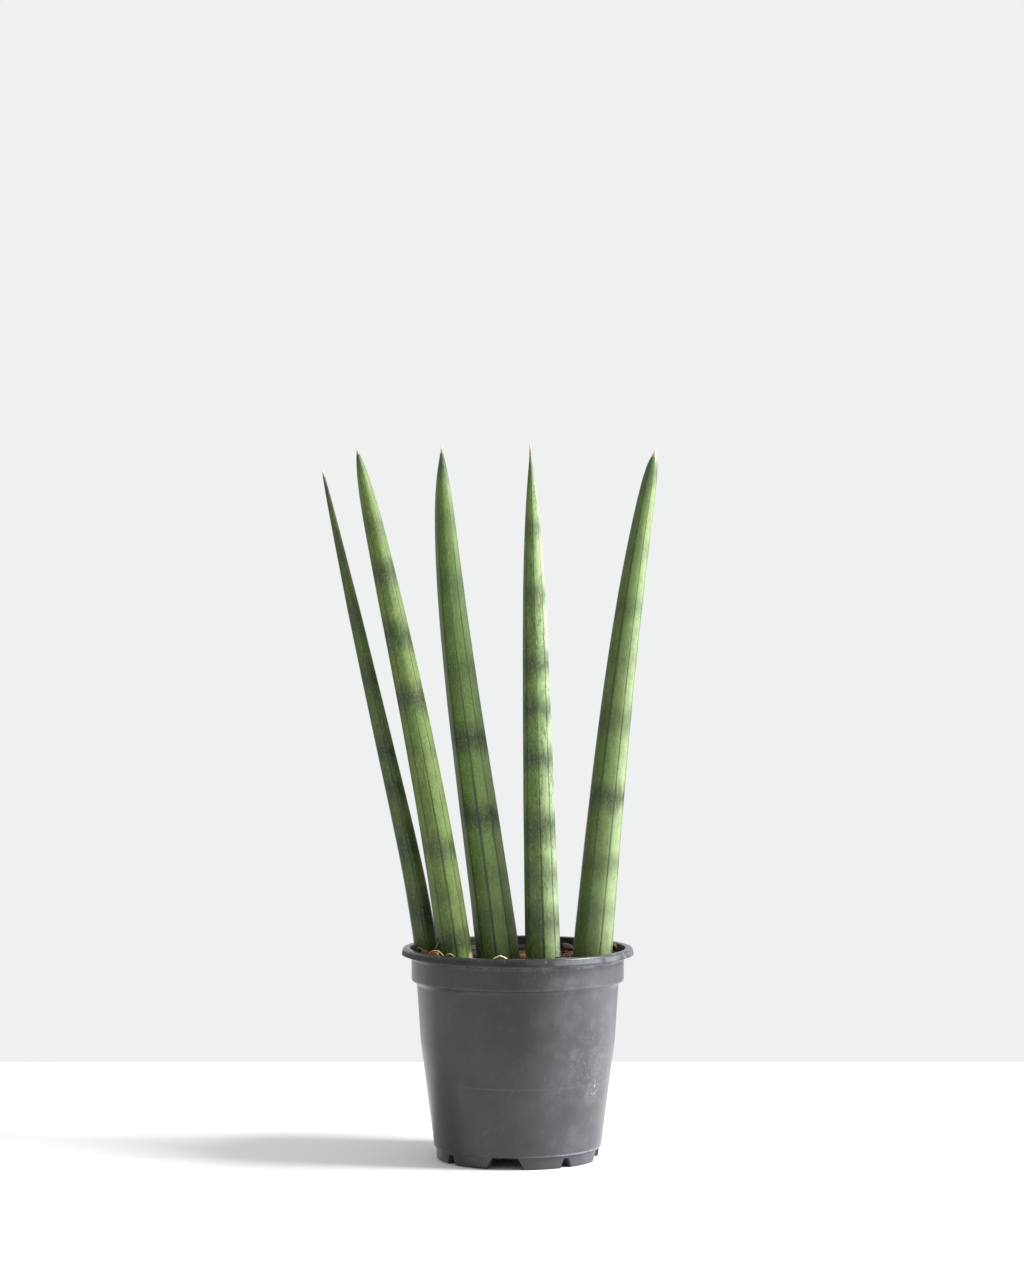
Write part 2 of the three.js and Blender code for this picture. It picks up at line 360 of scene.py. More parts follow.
def make_piece(name, mesh, material, sharp_over=math.radians(50)):
    """A new object at the origin that shows the mesh."""
    mesh.materials.clear()
    mesh.materials.append(material)
    mesh.shade_smooth()
    mesh.set_sharp_from_angle(angle=sharp_over)
    return add_object(name, mesh)


def settle(piece, slot, *nodes):
    """The piece rides with the plant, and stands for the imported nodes."""
    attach(piece, "root")
    if nodes:
        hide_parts(*nodes)


def wrap(name, rings, start, end, openings=(), bridges=()):
    """A closed skin over rings of points, capped at its start and end points.

    Rings run anticlockwise seen from above. openings are the (ring, column) quads left out, and
    bridges are the extra quads, each of four (ring, column) corners.
    """
    rings = np.asarray(rings)
    total, columns = rings.shape[:2]
    points = np.vstack([rings.reshape(-1, 3), [start, end]])
    first_point = total * columns
    faces = []
    for column in range(columns):
        after = (column + 1) % columns
        faces.append((first_point, after, column))
        last = (total - 1) * columns
        faces.append((first_point + 1, last + column, last + after))
        for ring in range(total - 1):
            if (ring, column) in openings:
                continue
            low = ring * columns
            high = low + columns
            faces.append((low + column, low + after, high + after, high + column))
    for corners in bridges:
        faces.append(tuple(ring * columns + column % columns for ring, column in corners))
    mesh = bpy.data.meshes.new(name)
    mesh.from_pydata(points.tolist(), [], faces)
    mesh.update()
    return mesh


def merged_copy(node):
    """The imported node's triangles as one connected bmesh."""
    copy = bmesh.new()
    copy.from_mesh(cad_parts[node].data)
    bmesh.ops.remove_doubles(copy, verts=copy.verts, dist=0.001 * MM)
    return copy


def smooth_between(knots, values, at):
    """Values at new places on a smooth curve through the given ones."""
    slopes = np.gradient(values, knots)
    cell = np.clip(np.searchsorted(knots, at) - 1, 0, len(knots) - 2)
    span = knots[cell + 1] - knots[cell]
    t = np.clip((at - knots[cell]) / span, 0, 1)
    rise = t * t * (3 - 2 * t)
    lead = t * (1 - t) ** 2 * span * slopes[cell]
    trail = t * t * (t - 1) * span * slopes[cell + 1]
    return values[cell] * (1 - rise) + values[cell + 1] * rise + lead + trail


def round_corners(outline):
    """The outline's (radius, height) points, with each corner rounded by its third number."""
    points = []
    for number, (x, z, fillet) in enumerate(outline):
        here = np.array([x, z])
        if not fillet or number in (0, len(outline) - 1):
            points.append(here)
            continue
        back = np.array(outline[number - 1][:2]) - here
        ahead = np.array(outline[number + 1][:2]) - here
        back_length = np.linalg.norm(back)
        ahead_length = np.linalg.norm(ahead)
        back /= back_length
        ahead /= ahead_length
        turn = math.acos(np.clip(-back @ ahead, -1, 1))
        cut = min(fillet * math.tan(turn / 2), 0.45 * back_length, 0.45 * ahead_length)
        steps = max(2, round(math.degrees(turn) / 15))
        for step in range(steps + 1):
            t = step / steps
            points.append(here + back * cut * (1 - t) ** 2 + ahead * cut * t ** 2)
    return np.array(points)


# ---- the pot ----

# Notches in the foot, each cut at every quarter turn: azimuth in degrees, and in millimetres
# the opening's width at its top and at the ground, its height, and the width and the inner
# radius of the drain slot in the floor behind it.
NOTCHES = [
    {"azimuth": -9, "top": 11.3, "bottom": 17.6, "height": 5.45, "slot": 9, "slot_inner": 30},
    {"azimuth": 36, "top": 2.6, "bottom": 5.8, "height": 4.3, "slot": 4.5, "slot_inner": 32},
]
SLOT_RADIUS = 33 * MM  # where the width of a drain slot is measured


def notch_centres(notch):
    """The azimuths of a notch's four cuts, in radians."""
    return [math.radians(notch["azimuth"] + 90 * quarter) for quarter in range(4)]


def arc_from(azimuth, centre, radius):
    """Distance round a circle from a centre azimuth, in millimetres, either way."""
    turn = (azimuth - centre + math.pi) % (2 * math.pi) - math.pi
    return turn * radius / MM


def notch_rise(azimuth, radius):
    """How high the foot's bottom edge stands off the ground at an azimuth, in millimetres."""
    rise = 0
    for notch in NOTCHES:
        slope = (notch["bottom"] - notch["top"]) / 2
        for centre in notch_centres(notch):
            away = abs(arc_from(azimuth, centre, radius))
            t = min(1, max(0, (notch["bottom"] / 2 - away) / slope))
            rise = max(rise, notch["height"] * (1 - (1 - t) ** 1.15))
    return rise


def pot_azimuths(radius):
    """Column azimuths: even all round, and close together at the notches' sloping sides."""
    azimuths = list(np.radians(np.arange(0, 360, 2.5)))
    for notch in NOTCHES:
        inner = notch["top"] / 2 - 0.8
        outer = notch["bottom"] / 2 + 0.4
        for centre in notch_centres(notch):
            for away in np.arange(inner, outer, 0.24):
                azimuths.append(centre + away * MM / radius)
                azimuths.append(centre - away * MM / radius)
    azimuths = np.sort(np.mod(azimuths, 2 * math.pi))
    keep = np.diff(np.append(azimuths, azimuths[0] + 2 * math.pi)) > 0.1 * MM / radius
    return azimuths[keep]


def pot_outline(pot):
    """(radius, height, fillet) corners, from under the floor's middle up to the lip and back."""
    foot_inside = pot.foot_radius - pot.foot_width
    gate = 1.6 * MM
    underside = [
        (0, pot.floor_bottom - 0.5 * MM, 0),
        (gate, pot.floor_bottom - 0.5 * MM, 0.2 * MM),
        (1.3 * gate, pot.floor_bottom, 0.3 * MM),
        (foot_inside, pot.floor_bottom, 0.4 * MM),
        (foot_inside, 0, 0.3 * MM),
        (pot.foot_radius, 0, 1.6 * MM),
        (pot.foot_radius, pot.hem_height - 0.4 * MM, 0.12 * MM),
    ]
    outside = [
        (pot.hem_radius, pot.hem_height - 0.3 * MM, 0.35 * MM),
        (pot.waist_radius, pot.waist_height, 9 * MM),
        (pot.shoulder_radius, pot.collar_bottom - 2.3 * MM, 1.6 * MM),
        (pot.shoulder_radius + 0.9 * MM, pot.collar_bottom - 0.9 * MM, 0.5 * MM),
        (pot.collar_radius, pot.collar_bottom - 0.3 * MM, 1.1 * MM),
        (pot.collar_radius, pot.collar_top, 0.4 * MM),
        (pot.mouth_radius, pot.collar_top + 0.9 * MM, 0.4 * MM),
    ]
    lip = [
        (pot.mouth_radius, pot.height - pot.wall, 0.4 * MM),
        (pot.lip_radius - pot.wall - 0.5 * MM, pot.height - pot.wall, 0.3 * MM),
        (pot.lip_radius - pot.wall, pot.height - pot.lip_drop, 0.1 * MM),
        (pot.lip_radius, pot.height - pot.lip_drop, 0.35 * MM),
        (pot.lip_radius - 0.6 * MM, pot.height, 1.1 * MM),
        (pot.mouth_radius - pot.wall, pot.height, 0.8 * MM),
    ]
    inside = [
        (pot.mouth_radius - pot.wall, pot.collar_top + 1.1 * MM, 0.4 * MM),
        (pot.collar_radius - pot.wall, pot.collar_top - 0.2 * MM, 0.4 * MM),
        (pot.collar_radius - pot.wall, pot.collar_bottom + 0.6 * MM, 0.8 * MM),
        (pot.shoulder_radius - pot.wall, pot.collar_bottom - 1.8 * MM, 0.8 * MM),
        (pot.waist_radius - pot.wall, pot.waist_height, 9 * MM),
        (pot.hem_radius - pot.wall, pot.floor_top + 1.2 * MM, 1.2 * MM),
        (pot.hem_radius - 2 * pot.wall, pot.floor_top, 0.8 * MM),
        (0, pot.floor_top, 0),
    ]
    return underside + outside + lip + inside


def with_slot_rings(profile, pot):
    """Adds the rings where the drain slots start and end, on both sides of the floor."""
    radii = sorted({notch["slot_inner"] * MM for notch in NOTCHES})
    outer = pot.foot_radius - pot.foot_width - 0.6 * MM
    low = [(radius, pot.floor_bottom) for radius in [*radii, outer]]
    high = [(radius, pot.floor_top) for radius in [outer, *radii[::-1]]]
    first_outer = next(i for i, point in enumerate(profile) if point[0] > outer)
    rows = [*profile[:first_outer], *low, *profile[first_outer:-1], *high, profile[-1]]
    return np.array(rows), first_outer, len(rows) - 1 - len(high)


def slot_cuts(azimuths, low_start, high_start):
    """The floor quads that the drain slots take out, and the quads that line the slots."""
    openings = set()
    bridges = []
    steps = len(NOTCHES)
    for number, notch in enumerate(NOTCHES):
        low = [low_start + ring for ring in range(number, steps + 1)]
        high = [high_start + steps - ring for ring in range(number, steps + 1)]
        for centre in notch_centres(notch):
            inside = [abs(arc_from(a, centre, SLOT_RADIUS)) < notch["slot"] / 2 for a in azimuths]
            for column, open_here in enumerate(inside):
                after = (column + 1) % len(azimuths)
                if not (open_here and inside[after]):
                    continue
                openings.update((ring, column) for ring in low[:-1])
                openings.update((ring - 1, column) for ring in high[:-1])
                inner = [(low[0], after), (high[0], after), (high[0], column), (low[0], column)]
                outer = [(low[-1], column), (high[-1], column), (high[-1], after), (low[-1], after)]
                bridges += [inner, outer]
                if not inside[column - 1]:
                    bridges += slot_side(low, high, column, False)
                if not inside[(after + 1) % len(azimuths)]:
                    bridges += slot_side(low, high, after, True)
    return openings, bridges


def slot_side(low, high, column, far):
    """The quads that line one end of a slot, facing into it."""
    quads = []
    for step in range(len(low) - 1):
        corners = (low[step], low[step + 1], high[step + 1], high[step])
        quad = [(ring, column) for ring in corners]
        quads.append(quad if far else quad[::-1])
    return quads


def pot_rings(pot, profile, azimuths):
    """Ring points of the pot. The foot is pressed up over each notch, and the wall is very
    slightly out of round, as thin moulded pots are."""
    rings = []
    out_of_round = 0.0012
    foot_top = pot.hem_height - 0.4 * MM
    middle = pot.foot_radius - pot.foot_width / 2
    inside_foot = pot.foot_radius - pot.foot_width - 0.05 * MM
    rises = [notch_rise(azimuth, pot.foot_radius) * MM for azimuth in azimuths]
    for radius, height in profile[1:-1]:
        ring = []
        for azimuth, rise in zip(azimuths, rises):
            z = height
            if radius > inside_foot and height < foot_top and radius < pot.foot_radius + 0.01 * MM:
                top = foot_top if radius > middle else pot.floor_bottom
                rise = min(rise, top - 0.05 * MM)
                z = rise + height * (1 - rise / top) if height < top else height
            sag = out_of_round * (1 + math.cos(2 * azimuth + 0.9)) * height / pot.height
            r = radius * (1 - sag)
            ring.append((AXIS.x + r * math.sin(azimuth), AXIS.y - r * math.cos(azimuth), z))
        rings.append(ring)
    return rings


def scuff(finish, pot, azimuth, height, core, reach):
    """1 at a place on the wall, falling to 0 at its reach. Degrees and millimetres."""
    turn = math.radians(azimuth)
    radius = pot.waist_radius
    spot = (AXIS.x + radius * math.sin(turn), AXIS.y - radius * math.cos(turn), height * MM)
    return 1 - finish.away_from(spot).step(core * MM, reach * MM)


def pot_plastic(pot):
    """Charcoal moulded plastic: satin, with flow marks, dust, scuffs and fine scratches, painted
    highlights on its front and right, painted shade inside and on the lip's face, and a painted dark
    reflection at the front.
    """
    finish = Finish("pot_plastic", {"IOR": 1.47})
    x, y, z = finish.parts(finish.place)
    from_axis = ((x - AXIS.x) * (x - AXIS.x) + y * y) ** 0.5
    inside = finish.attribute("inside")

    # Its front and right: where the pot is touched most, and where a painted highlight of the window
    # light is laid on.
    to_right = (x - AXIS.x).step(-4 * MM, 40 * MM)
    to_front = 1 - y.step(-5 * MM, 40 * MM)
    used_side = to_right * to_front * 0.8 + 0.2
    from_middle = (x - AXIS.x) / (17 * MM)
    # Painted reflection: a darker patch at the front middle, from about a third of the way up, in place
    # of a dark reflection.
    painted_dark_reflection = (1 - from_middle * from_middle).most(0) * to_front * z.step(30 * MM, 62 * MM)

    # Marks of moulding, a haze of dust, and on the front and right a pale film, mottled with dust, that
    # is a painted highlight of the window light.
    patches = finish.grain(28, detail=3, seed=2).step(0.42, 0.66)
    flow = finish.grain(60, (1, 1, 0.15), detail=3, seed=5)
    haze = finish.grain(110, detail=5, roughness=0.65, seed=9).step(0.42, 0.74)
    # Painted highlight: the pale film on the front and right stands in for the window light's broad
    # sheen, and is stronger low down.
    right_side_sheen = to_right * to_front * (patches * 0.3 + 0.85 - z * 4)

    # Scuffs, knocks, specks and scratches.
    scuffed = scuff(finish, pot, 54, 49, 9, 26).most(scuff(finish, pot, 20, 89, 3, 16) * 0.7)
    knock = scuff(finish, pot, 55, 35, 1, 9).most(scuff(finish, pot, 84, 85, 2, 8))
    specks = finish.grain(1500, detail=3, roughness=0.75, seed=13).step(0.6, 0.68)
    specks = specks * finish.grain(330, detail=2, seed=15).step(0.48, 0.62) * scuffed
    chips = finish.grain(800, detail=4, roughness=0.75, seed=73).step(0.56, 0.62) * knock
    rubbed = finish.grain(420, detail=5, roughness=0.75, seed=17).step(0.56, 0.66) * scuffed
    dots = finish.grain(900, detail=1, seed=21).step(0.74, 0.79) * (patches * 0.6 + 0.4)
    slanted = finish.node("ShaderNodeMapping", {"vector_type": "TEXTURE"},
                          {"Vector": finish.place, "Rotation": (0.3, 0.25, 0.5)})
    hair = finish.noise(finish.scaled(slanted, (1, 1, 0.035)), 900, detail=1, seed=31)
    scratches = (hair.step(0.66, 0.7) - hair.step(0.7, 0.72)).most(0) * patches * used_side

    # Dust and wear that gather at one height: the lip, the ledges, the hem and the water mark, with
    # painted highlights along the hem and on the lip's face on the right.
    lip_edge = z.step(pot.height - 2.2 * MM, pot.height - 1.2 * MM)
    chafed = finish.grain(330, detail=4, roughness=0.75, seed=41).step(0.58, 0.68) * lip_edge
    shelf, flare = pot.collar_bottom, pot.collar_top
    ledge = z.between(shelf - 1.2 * MM, shelf - 0.4 * MM, shelf + 0.1 * MM, shelf + 1.2 * MM)
    hem = z.between(pot.hem_height - 0.6 * MM, pot.hem_height, pot.hem_height,
                    pot.hem_height + 0.9 * MM)
    # Painted highlight: the pale edge along the hem is much stronger on the right, where the window
    # light falls; the rest is dust along the ledge and the hem.
    edges = ledge * 0.05 + hem * (to_right * 1.1 + 0.06)
    edges = edges * finish.grain(210, detail=3, seed=47).step(0.3, 0.5)
    under_lip = z.between(flare - 1.1 * MM, flare - 0.1 * MM, flare + 0.8 * MM, flare + 1.6 * MM)
    smears = finish.grain(160, (1, 1, 0.5), detail=4, roughness=0.7, seed=53).step(0.42, 0.6)
    smears = smears * under_lip
    tide = z.between(pot.tide - 0.8 * MM, pot.tide, pot.tide, pot.tide + 0.8 * MM)
    tide = tide * finish.grain(70, detail=2, seed=57).step(0.38, 0.55)
    lip_face = from_axis.step(pot.mouth_radius + 0.6 * MM, pot.mouth_radius + 1.4 * MM)
    lip_face = lip_face * (1 - z.step(pot.height - 1.3 * MM, pot.height - 0.6 * MM))
    # Painted highlight: the right half of the lip's face is painted paler, in rubbed grain, where the
    # window light falls on it.
    painted_lip_highlight = lip_face * to_right * finish.grain(120, detail=4, seed=71).step(0.36, 0.6)

    # All the pale marks added up: real dust, scuffs and wear, and the painted highlights of the film,
    # the hem and the lip's face.
    dust_and_sheen = haze * used_side * 0.11 + patches * 0.02 + specks * 0.8 + rubbed * 0.2 + dots * 0.35
    dust_and_sheen = dust_and_sheen + chips * 0.9 + knock * 0.04
    dust_and_sheen = dust_and_sheen + scratches * 0.25 + chafed * (used_side * 0.6 + 0.05) + edges * 0.5
    dust_and_sheen = dust_and_sheen + smears * (to_right * 0.24 + 0.07)
    dust_and_sheen = dust_and_sheen + scuffed * haze * 0.05 + tide * 0.05 + right_side_sheen * 0.16
    dust_and_sheen = (dust_and_sheen.least(1.0) + painted_lip_highlight * 0.25) * (1 - inside)
    body = finish.tone(tuple(pot.plastic), flow * 0.7 + 0.68)
    # Painted shade: the inside of the pot, which also carries no dust, and the lip's downturned face are
    # darkened where shade falls; the painted dark reflection darkens the front middle.
    body = finish.tone(body, 1 - inside * 0.75 - lip_face * 0.7 - painted_dark_reflection * 0.6)
    fine = finish.grain(2600, detail=1, seed=61)
    relief = fine * 0.35 + finish.grain(240, detail=2, seed=67) * 1.2 + scratches * 0.5
    return finish.wear(
        finish.blend(dust_and_sheen, body, tuple(pot.dust_and_sheen)),
        roughness=flow * 0.12 + dust_and_sheen * 0.4 + (inside + lip_face) * 0.35 + painted_dark_reflection * 0.1 + 0.21,
        normal=finish.bump(relief, 0.022 * MM),
    )


class PLANT_OT_pot(bpy.types.Operator):
    """Mould the nursery pot, with its lip, ledge, notched foot and drain slots"""

    bl_idname = "plant.pot"
    bl_label = "Pot"

    def execute(self, context):
        pot = context.scene.plant_pot
        profile, low_start, high_start = with_slot_rings(round_corners(pot_outline(pot)), pot)
        azimuths = pot_azimuths(pot.foot_radius)
        openings, bridges = slot_cuts(azimuths, low_start - 1, high_start - 1)
        start = (AXIS.x, AXIS.y, profile[0][1])
        end = (AXIS.x, AXIS.y, profile[-1][1])
        mesh = wrap("pot", pot_rings(pot, profile, azimuths), start, end, openings, bridges)
        brim = pot.height - 0.2 * MM
        mouth = max(row for row, point in enumerate(profile[1:-1]) if point[1] > brim)
        inner = np.arange(len(profile) - 2) > mouth
        store(mesh, "inside", np.append(np.repeat(inner, len(azimuths)), [False, True]))
        piece = make_piece("nursery_pot", mesh, pot_plastic(pot), math.radians(38))
        settle(piece, "pot_plastic", "pot")
        return {"FINISHED"}


# ---- the leaves ----

# One row for each leaf. ribs are the dark lines round it, and first_rib the azimuth of the first.
# swell is how much thicker than its imported solid it is drawn. tint multiplies the shared
# colours, and mottling is how far the dark breaks up. light is how much pale cloud its skin has.
# The two numbers after it are painted light on the side towards the window light: how much paler
# that side is painted, and how strong the pale painted highlight laid over it is. bands are the
# dark cross bands: height of the middle and half width in millimetres, and how dark the band is.
# scar is the place of a dry pale patch, in millimetres from the pot's axis and above the table.
LEAVES = {
    "leaf_1": {
        "seed": 3, "ribs": 6, "first_rib": 8, "swell": 1.22, "tint": (0.74, 0.74, 0.76),
        "mottling": 0.55, "light": 0.25, "painted_light": 0.15, "painted_highlight": 0.05,
        "bands": [(312, 9, 0.8), (283, 12, 0.6), (252, 12, 0.5), (224, 9, 0.6), (188, 7, 0.9),
                  (173, 6, 0.8), (145, 10, 0.8), (114, 11, 0.9), (90, 12, 0.8)],
    },
    "leaf_2": {
        "seed": 11, "ribs": 9, "first_rib": 5, "swell": 1.04, "tint": (1.02, 1.02, 0.85),
        "mottling": 0.3, "light": 0.55, "painted_light": 0.32, "painted_highlight": 0.12,
        "bands": [(326, 7, 0.7), (293, 6, 0.35), (272, 7, 0.85), (243, 7, 0.95), (214, 8, 0.95),
                  (190, 3, 0.25), (145, 7, 0.75), (124, 4, 0.3), (101, 8, 0.75), (84, 8, 0.5)],
        "scar": (-20.6, -12, 94.5),
    },
    "leaf_3": {
        "seed": 23, "ribs": 9, "first_rib": -5, "swell": 1.04, "tint": (0.9, 0.95, 0.85),
        "mottling": 0.3, "light": 0.3, "painted_light": 0.45, "painted_highlight": 0.15,
        "bands": [(323, 8, 0.9), (298, 6, 0.3), (267, 6, 0.35), (228, 6, 0.35), (195.5, 7, 0.95),
                  (159.5, 7, 0.95), (133, 5, 0.3), (113, 5, 0.3), (88, 12, 0.7)],
    },
    "leaf_4": {
        "seed": 37, "ribs": 8, "first_rib": 0, "swell": 1.06, "tint": (0.94, 0.96, 0.95),
        "mottling": 0.7, "light": 0.6, "painted_light": 1.0, "painted_highlight": 0.75,
        "bands": [(320, 6, 0.5), (293, 6, 0.6), (262, 5, 0.65), (230, 6, 0.8), (210, 6, 0.8),
                  (187, 7, 0.85), (155, 8, 0.9), (132, 9, 0.6), (112, 9, 0.7), (88, 12, 0.75)],
    },
    "leaf_5": {
        "seed": 53, "ribs": 8, "first_rib": -24, "swell": 1.05, "tint": (0.68, 0.70, 0.64),
        "mottling": 0.3, "light": 0.5, "painted_light": 0.95, "painted_highlight": 0.35,
        "bands": [(318, 7, 0.5), (282, 5, 0.2), (256, 5, 0.4), (231, 5, 0.25), (204, 7, 0.5),
                  (168, 6, 0.85), (137, 5, 0.45), (116, 5, 0.25), (86, 10, 0.6)],
    },
}

# Azimuth of the leaves' side towards the window light, in degrees: there they are painted paler, with a
# pale painted highlight, as painted light.
PAINTED_LIGHT_SIDE = 72

# How far each band fades out past its stated half width, in millimetres.
BAND_FADE = 2.6

# Places across one face, from rib to rib, close together beside the ribs.
FACE_STEPS = np.array([0, 0.03, 0.065, 0.11, 0.17, 0.27, 0.38, 0.5, 0.62, 0.73, 0.83, 0.89,
                       0.935, 0.97])


def packed_sections(node):
    """Heights, centres and radii of the level sections of a packed leaf."""
    points = np.array([vertex.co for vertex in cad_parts[node].data.vertices])
    heights = []
    for height in np.sort(points[:, 2]):
        if not heights or height - heights[-1] > 0.05 * MM:
            heights.append(height)
    centres = []
    radii = []
    for height in heights:
        level = points[np.abs(points[:, 2] - height) < 0.05 * MM]
        low = level.min(axis=0)
        high = level.max(axis=0)
        centres.append((low + high)[:2] / 2)
        radii.append((high - low)[0] / 2)
    return np.array(heights), np.array(centres), np.array(radii)


def leaf_heights(low, high):
    """Ring heights: wide steps in the mix, even steps up the leaf, and fine ones at the point."""
    mix = np.arange(low, low + 16 * MM, 2 * MM)
    body = np.arange(low + 16 * MM, high - 12 * MM, 1.1 * MM)
    point = high - 12 * MM * (1 - np.linspace(0, 1, 34) ** 0.8)
    return np.concatenate([mix, body, point])


def leaf_mesh(node, row, leaf):
    """A round leaf whose skin is slightly flat between its ribs, with a groove along each rib
    and a dry point at the tip."""
    heights, centres, radii = packed_sections(node)
    z = leaf_heights(heights[0], heights[-1])
    x = smooth_between(heights, centres[:, 0], z)
    y = smooth_between(heights, centres[:, 1], z)
    radius = np.minimum(smooth_between(heights, radii, z), radii.max())
    drop = (heights[-1] - z) / MM
    radius *= 1 + (row["swell"] - 1) * np.clip(drop / 60 - 0.1, 0, 1)
    radius *= 0.22 + 0.78 * np.sqrt(np.clip(drop / 3.5, 0, 1))
    rng = np.random.default_rng(row["seed"])
    spread = 360 / row["ribs"]
    ribs = row["first_rib"] + spread * np.arange(row["ribs"]) + rng.uniform(-4, 4, row["ribs"])
    ribs[:2] = row["first_rib"] + spread * np.arange(2)
    ends = np.append(ribs[1:], ribs[0] + 360)
    tint = np.repeat(rng.uniform(-0.08, 0.08, row["ribs"]), len(FACE_STEPS))
    girth = np.median(radii)
    azimuths, depths, marks = [], [], []
    for rib, end in zip(ribs, ends):
        half = math.radians(end - rib) / 2
        across = (FACE_STEPS - 0.5) * 2 * half
        flat = (1 - leaf.flatness) + leaf.flatness * math.cos(half) / np.cos(across)
        away = np.minimum(FACE_STEPS, 1 - FACE_STEPS) * 2 * half * girth
        near = np.exp(-(away / leaf.groove_width) ** 2)
        azimuths.append(np.radians(rib) + FACE_STEPS * 2 * half)
        depths.append(flat - near * leaf.groove_depth / girth)
        marks.append(near)
    azimuths = np.concatenate(azimuths)
    depths = np.concatenate(depths)
    # Painted light: each face's stored tone is its own small random difference plus how far it faces the
    # window light; the skin paints it paler there.
    painted_light = (0.5 + 0.5 * np.cos(azimuths - math.radians(PAINTED_LIGHT_SIDE))) ** 2
    tint = np.clip(painted_light + tint, 0, 1)
    rings = []
    for cx, cy, cz, r in zip(x, y, z, radius):
        wander = math.radians(2.5) * np.sin(cz / (45 * MM) + 1.7 * azimuths + row["seed"])
        turned = azimuths + wander
        level = cz / (22 * MM) + row["seed"]
        lumps = [noise.noise(Vector((math.cos(a), math.sin(a), level))) for a in azimuths]
        r_here = r * depths * (0.992 + 0.008 * np.array(lumps))
        rings.append(np.stack([cx + r_here * np.sin(turned), cy - r_here * np.cos(turned),
                               np.full_like(turned, cz)], axis=1))
    start = (x[0], y[0], z[0])
    end = (x[-1], y[-1], z[-1])
    mesh = wrap(node, rings, start, end)
    store(mesh, "rib", np.append(np.tile(np.concatenate(marks), len(z)), [0, 0]))
    store(mesh, "face", np.append(np.tile(tint, len(z)), [0.5, 0.5]))
    return mesh


def band_stops(row, top):
    """Ramp stops that rise to each band's darkness and fall again."""
    stops = {0.0: 0.3}
    for middle, half, dark in sorted(row["bands"]):
        half += BAND_FADE
        for height, value in ((middle - half, 0.0), (middle, dark), (middle + half, 0.0)):
            position = min(0.999, max(0.001, height / top))
            while position in stops:
                position += 0.0004
            stops[position] = value
    return sorted(stops.items())


def leaf_skin(node, row, leaf):
    """Waxy leaf skin: dark ragged cross bands and mottling over green, a dark line along each
    rib, fine streaks and pale flecks, and a dry point. The side towards the window light is painted
    paler, with a pale painted highlight."""
    finish = Finish(f"{node}_skin", {"IOR": 1.42})
    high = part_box(node)[1]
    tint = np.array(row["tint"])
    pale, green, dark = (tuple(np.array(c) * tint) for c in (leaf.pale, leaf.green, leaf.dark))
    seed = row["seed"]
    z = finish.parts(finish.place)[2]
    rib = finish.attribute("rib")
    face = finish.attribute("face")
    ragged = finish.grain(230, (1, 1, 0.45), detail=3, roughness=0.6, seed=seed)
    teeth = finish.grain(1100, (1, 1, 0.16), detail=2, seed=seed + 1)
    warped = z + (ragged - 0.5) * (13 * MM) + (teeth - 0.5) * (9 * MM)
    settings = {"stops": band_stops(row, high.z / MM)}
    bands = finish.node("ShaderNodeValToRGB", settings, {0: warped / high.z})
    blotches = finish.grain(230, (1, 1, 0.35), detail=5, roughness=0.7, seed=seed + 2)
    cells = finish.grain(900, (1, 1, 0.5), detail=3, roughness=0.7, seed=seed + 3)
    mottled = blotches.step(0.45, 0.6) * cells.step(0.38, 0.6) * row["mottling"]
    darkness = (bands ** 0.75 * (cells.step(0.25, 0.55) * 0.35 + 0.65)).most(mottled)
    light = finish.grain(70, (1, 1, 0.35), detail=3, seed=seed + 4).step(0.35, 0.65)
    streaks = finish.grain(2400, (1, 1, 0.03), detail=2, roughness=0.6, seed=seed + 5)
    glow = finish.grain(330, (1, 1, 0.25), detail=4, roughness=0.7, seed=seed + 10).step(0.46, 0.66)
    # Painted light: the stored face tone paints the side towards the window paler, and the blend below
    # lays a pale painted highlight on that side; the pale clouds are the skin's own.
    pale_cloud_and_painted_light = light * 0.2 * row["light"] + face * row["painted_light"] + glow * row["light"] * 0.35
    skin = finish.blend(pale_cloud_and_painted_light, green, pale)
    skin = finish.blend(face ** 3 * row["painted_highlight"], skin, tuple(leaf.painted_highlight))
    skin = finish.tone(skin, streaks * 0.44 + 0.78)
    skin = finish.blend(darkness, skin, dark)
    flecks = finish.grain(1500, (1, 1, 0.55), detail=3, roughness=0.7, seed=seed + 6).step(0.53, 0.68)
    skin = finish.blend(flecks * 0.32, skin, tuple(np.minimum(1, np.array(pale) * 1.7)))
    pits = finish.grain(1300, (1, 1, 0.6), detail=3, roughness=0.7, seed=seed + 7).step(0.54, 0.68)
    skin = finish.blend(pits * 0.42, skin, dark)
    broken = finish.grain(320, (1, 1, 0.2), detail=2, seed=seed + 8).step(0.28, 0.5)
    skin = finish.blend(rib * (broken * 0.45 + 0.33), skin, tuple(leaf.line))
    if "scar" in row:
        spot = AXIS + Vector(row["scar"]) * MM
        ragged_reach = finish.away_from(spot) + (blotches - 0.5) * (5 * MM)
        scar = 1 - ragged_reach.step(2 * MM, 3.6 * MM)
        skin = finish.blend(scar * 0.85, skin, tuple(leaf.spine))
    dry = z.step(high.z - 4.2 * MM, high.z - 2.2 * MM)
    brown = z.between(high.z - 4.2 * MM, high.z - 2.2 * MM, high.z - 2.6 * MM, high.z - 1.2 * MM)
    skin = finish.blend(dry, skin, tuple(leaf.spine))
    skin = finish.blend(brown * 0.6, skin, (0.18, 0.045, 0.02))
    relief = streaks * 0.6 + finish.grain(700, detail=2, seed=seed + 9) * 0.8
    return finish.wear(
        skin,
        roughness=0.40 + streaks * 0.08 + mottled * 0.08,
        normal=finish.bump(relief, 0.035 * MM),
    )


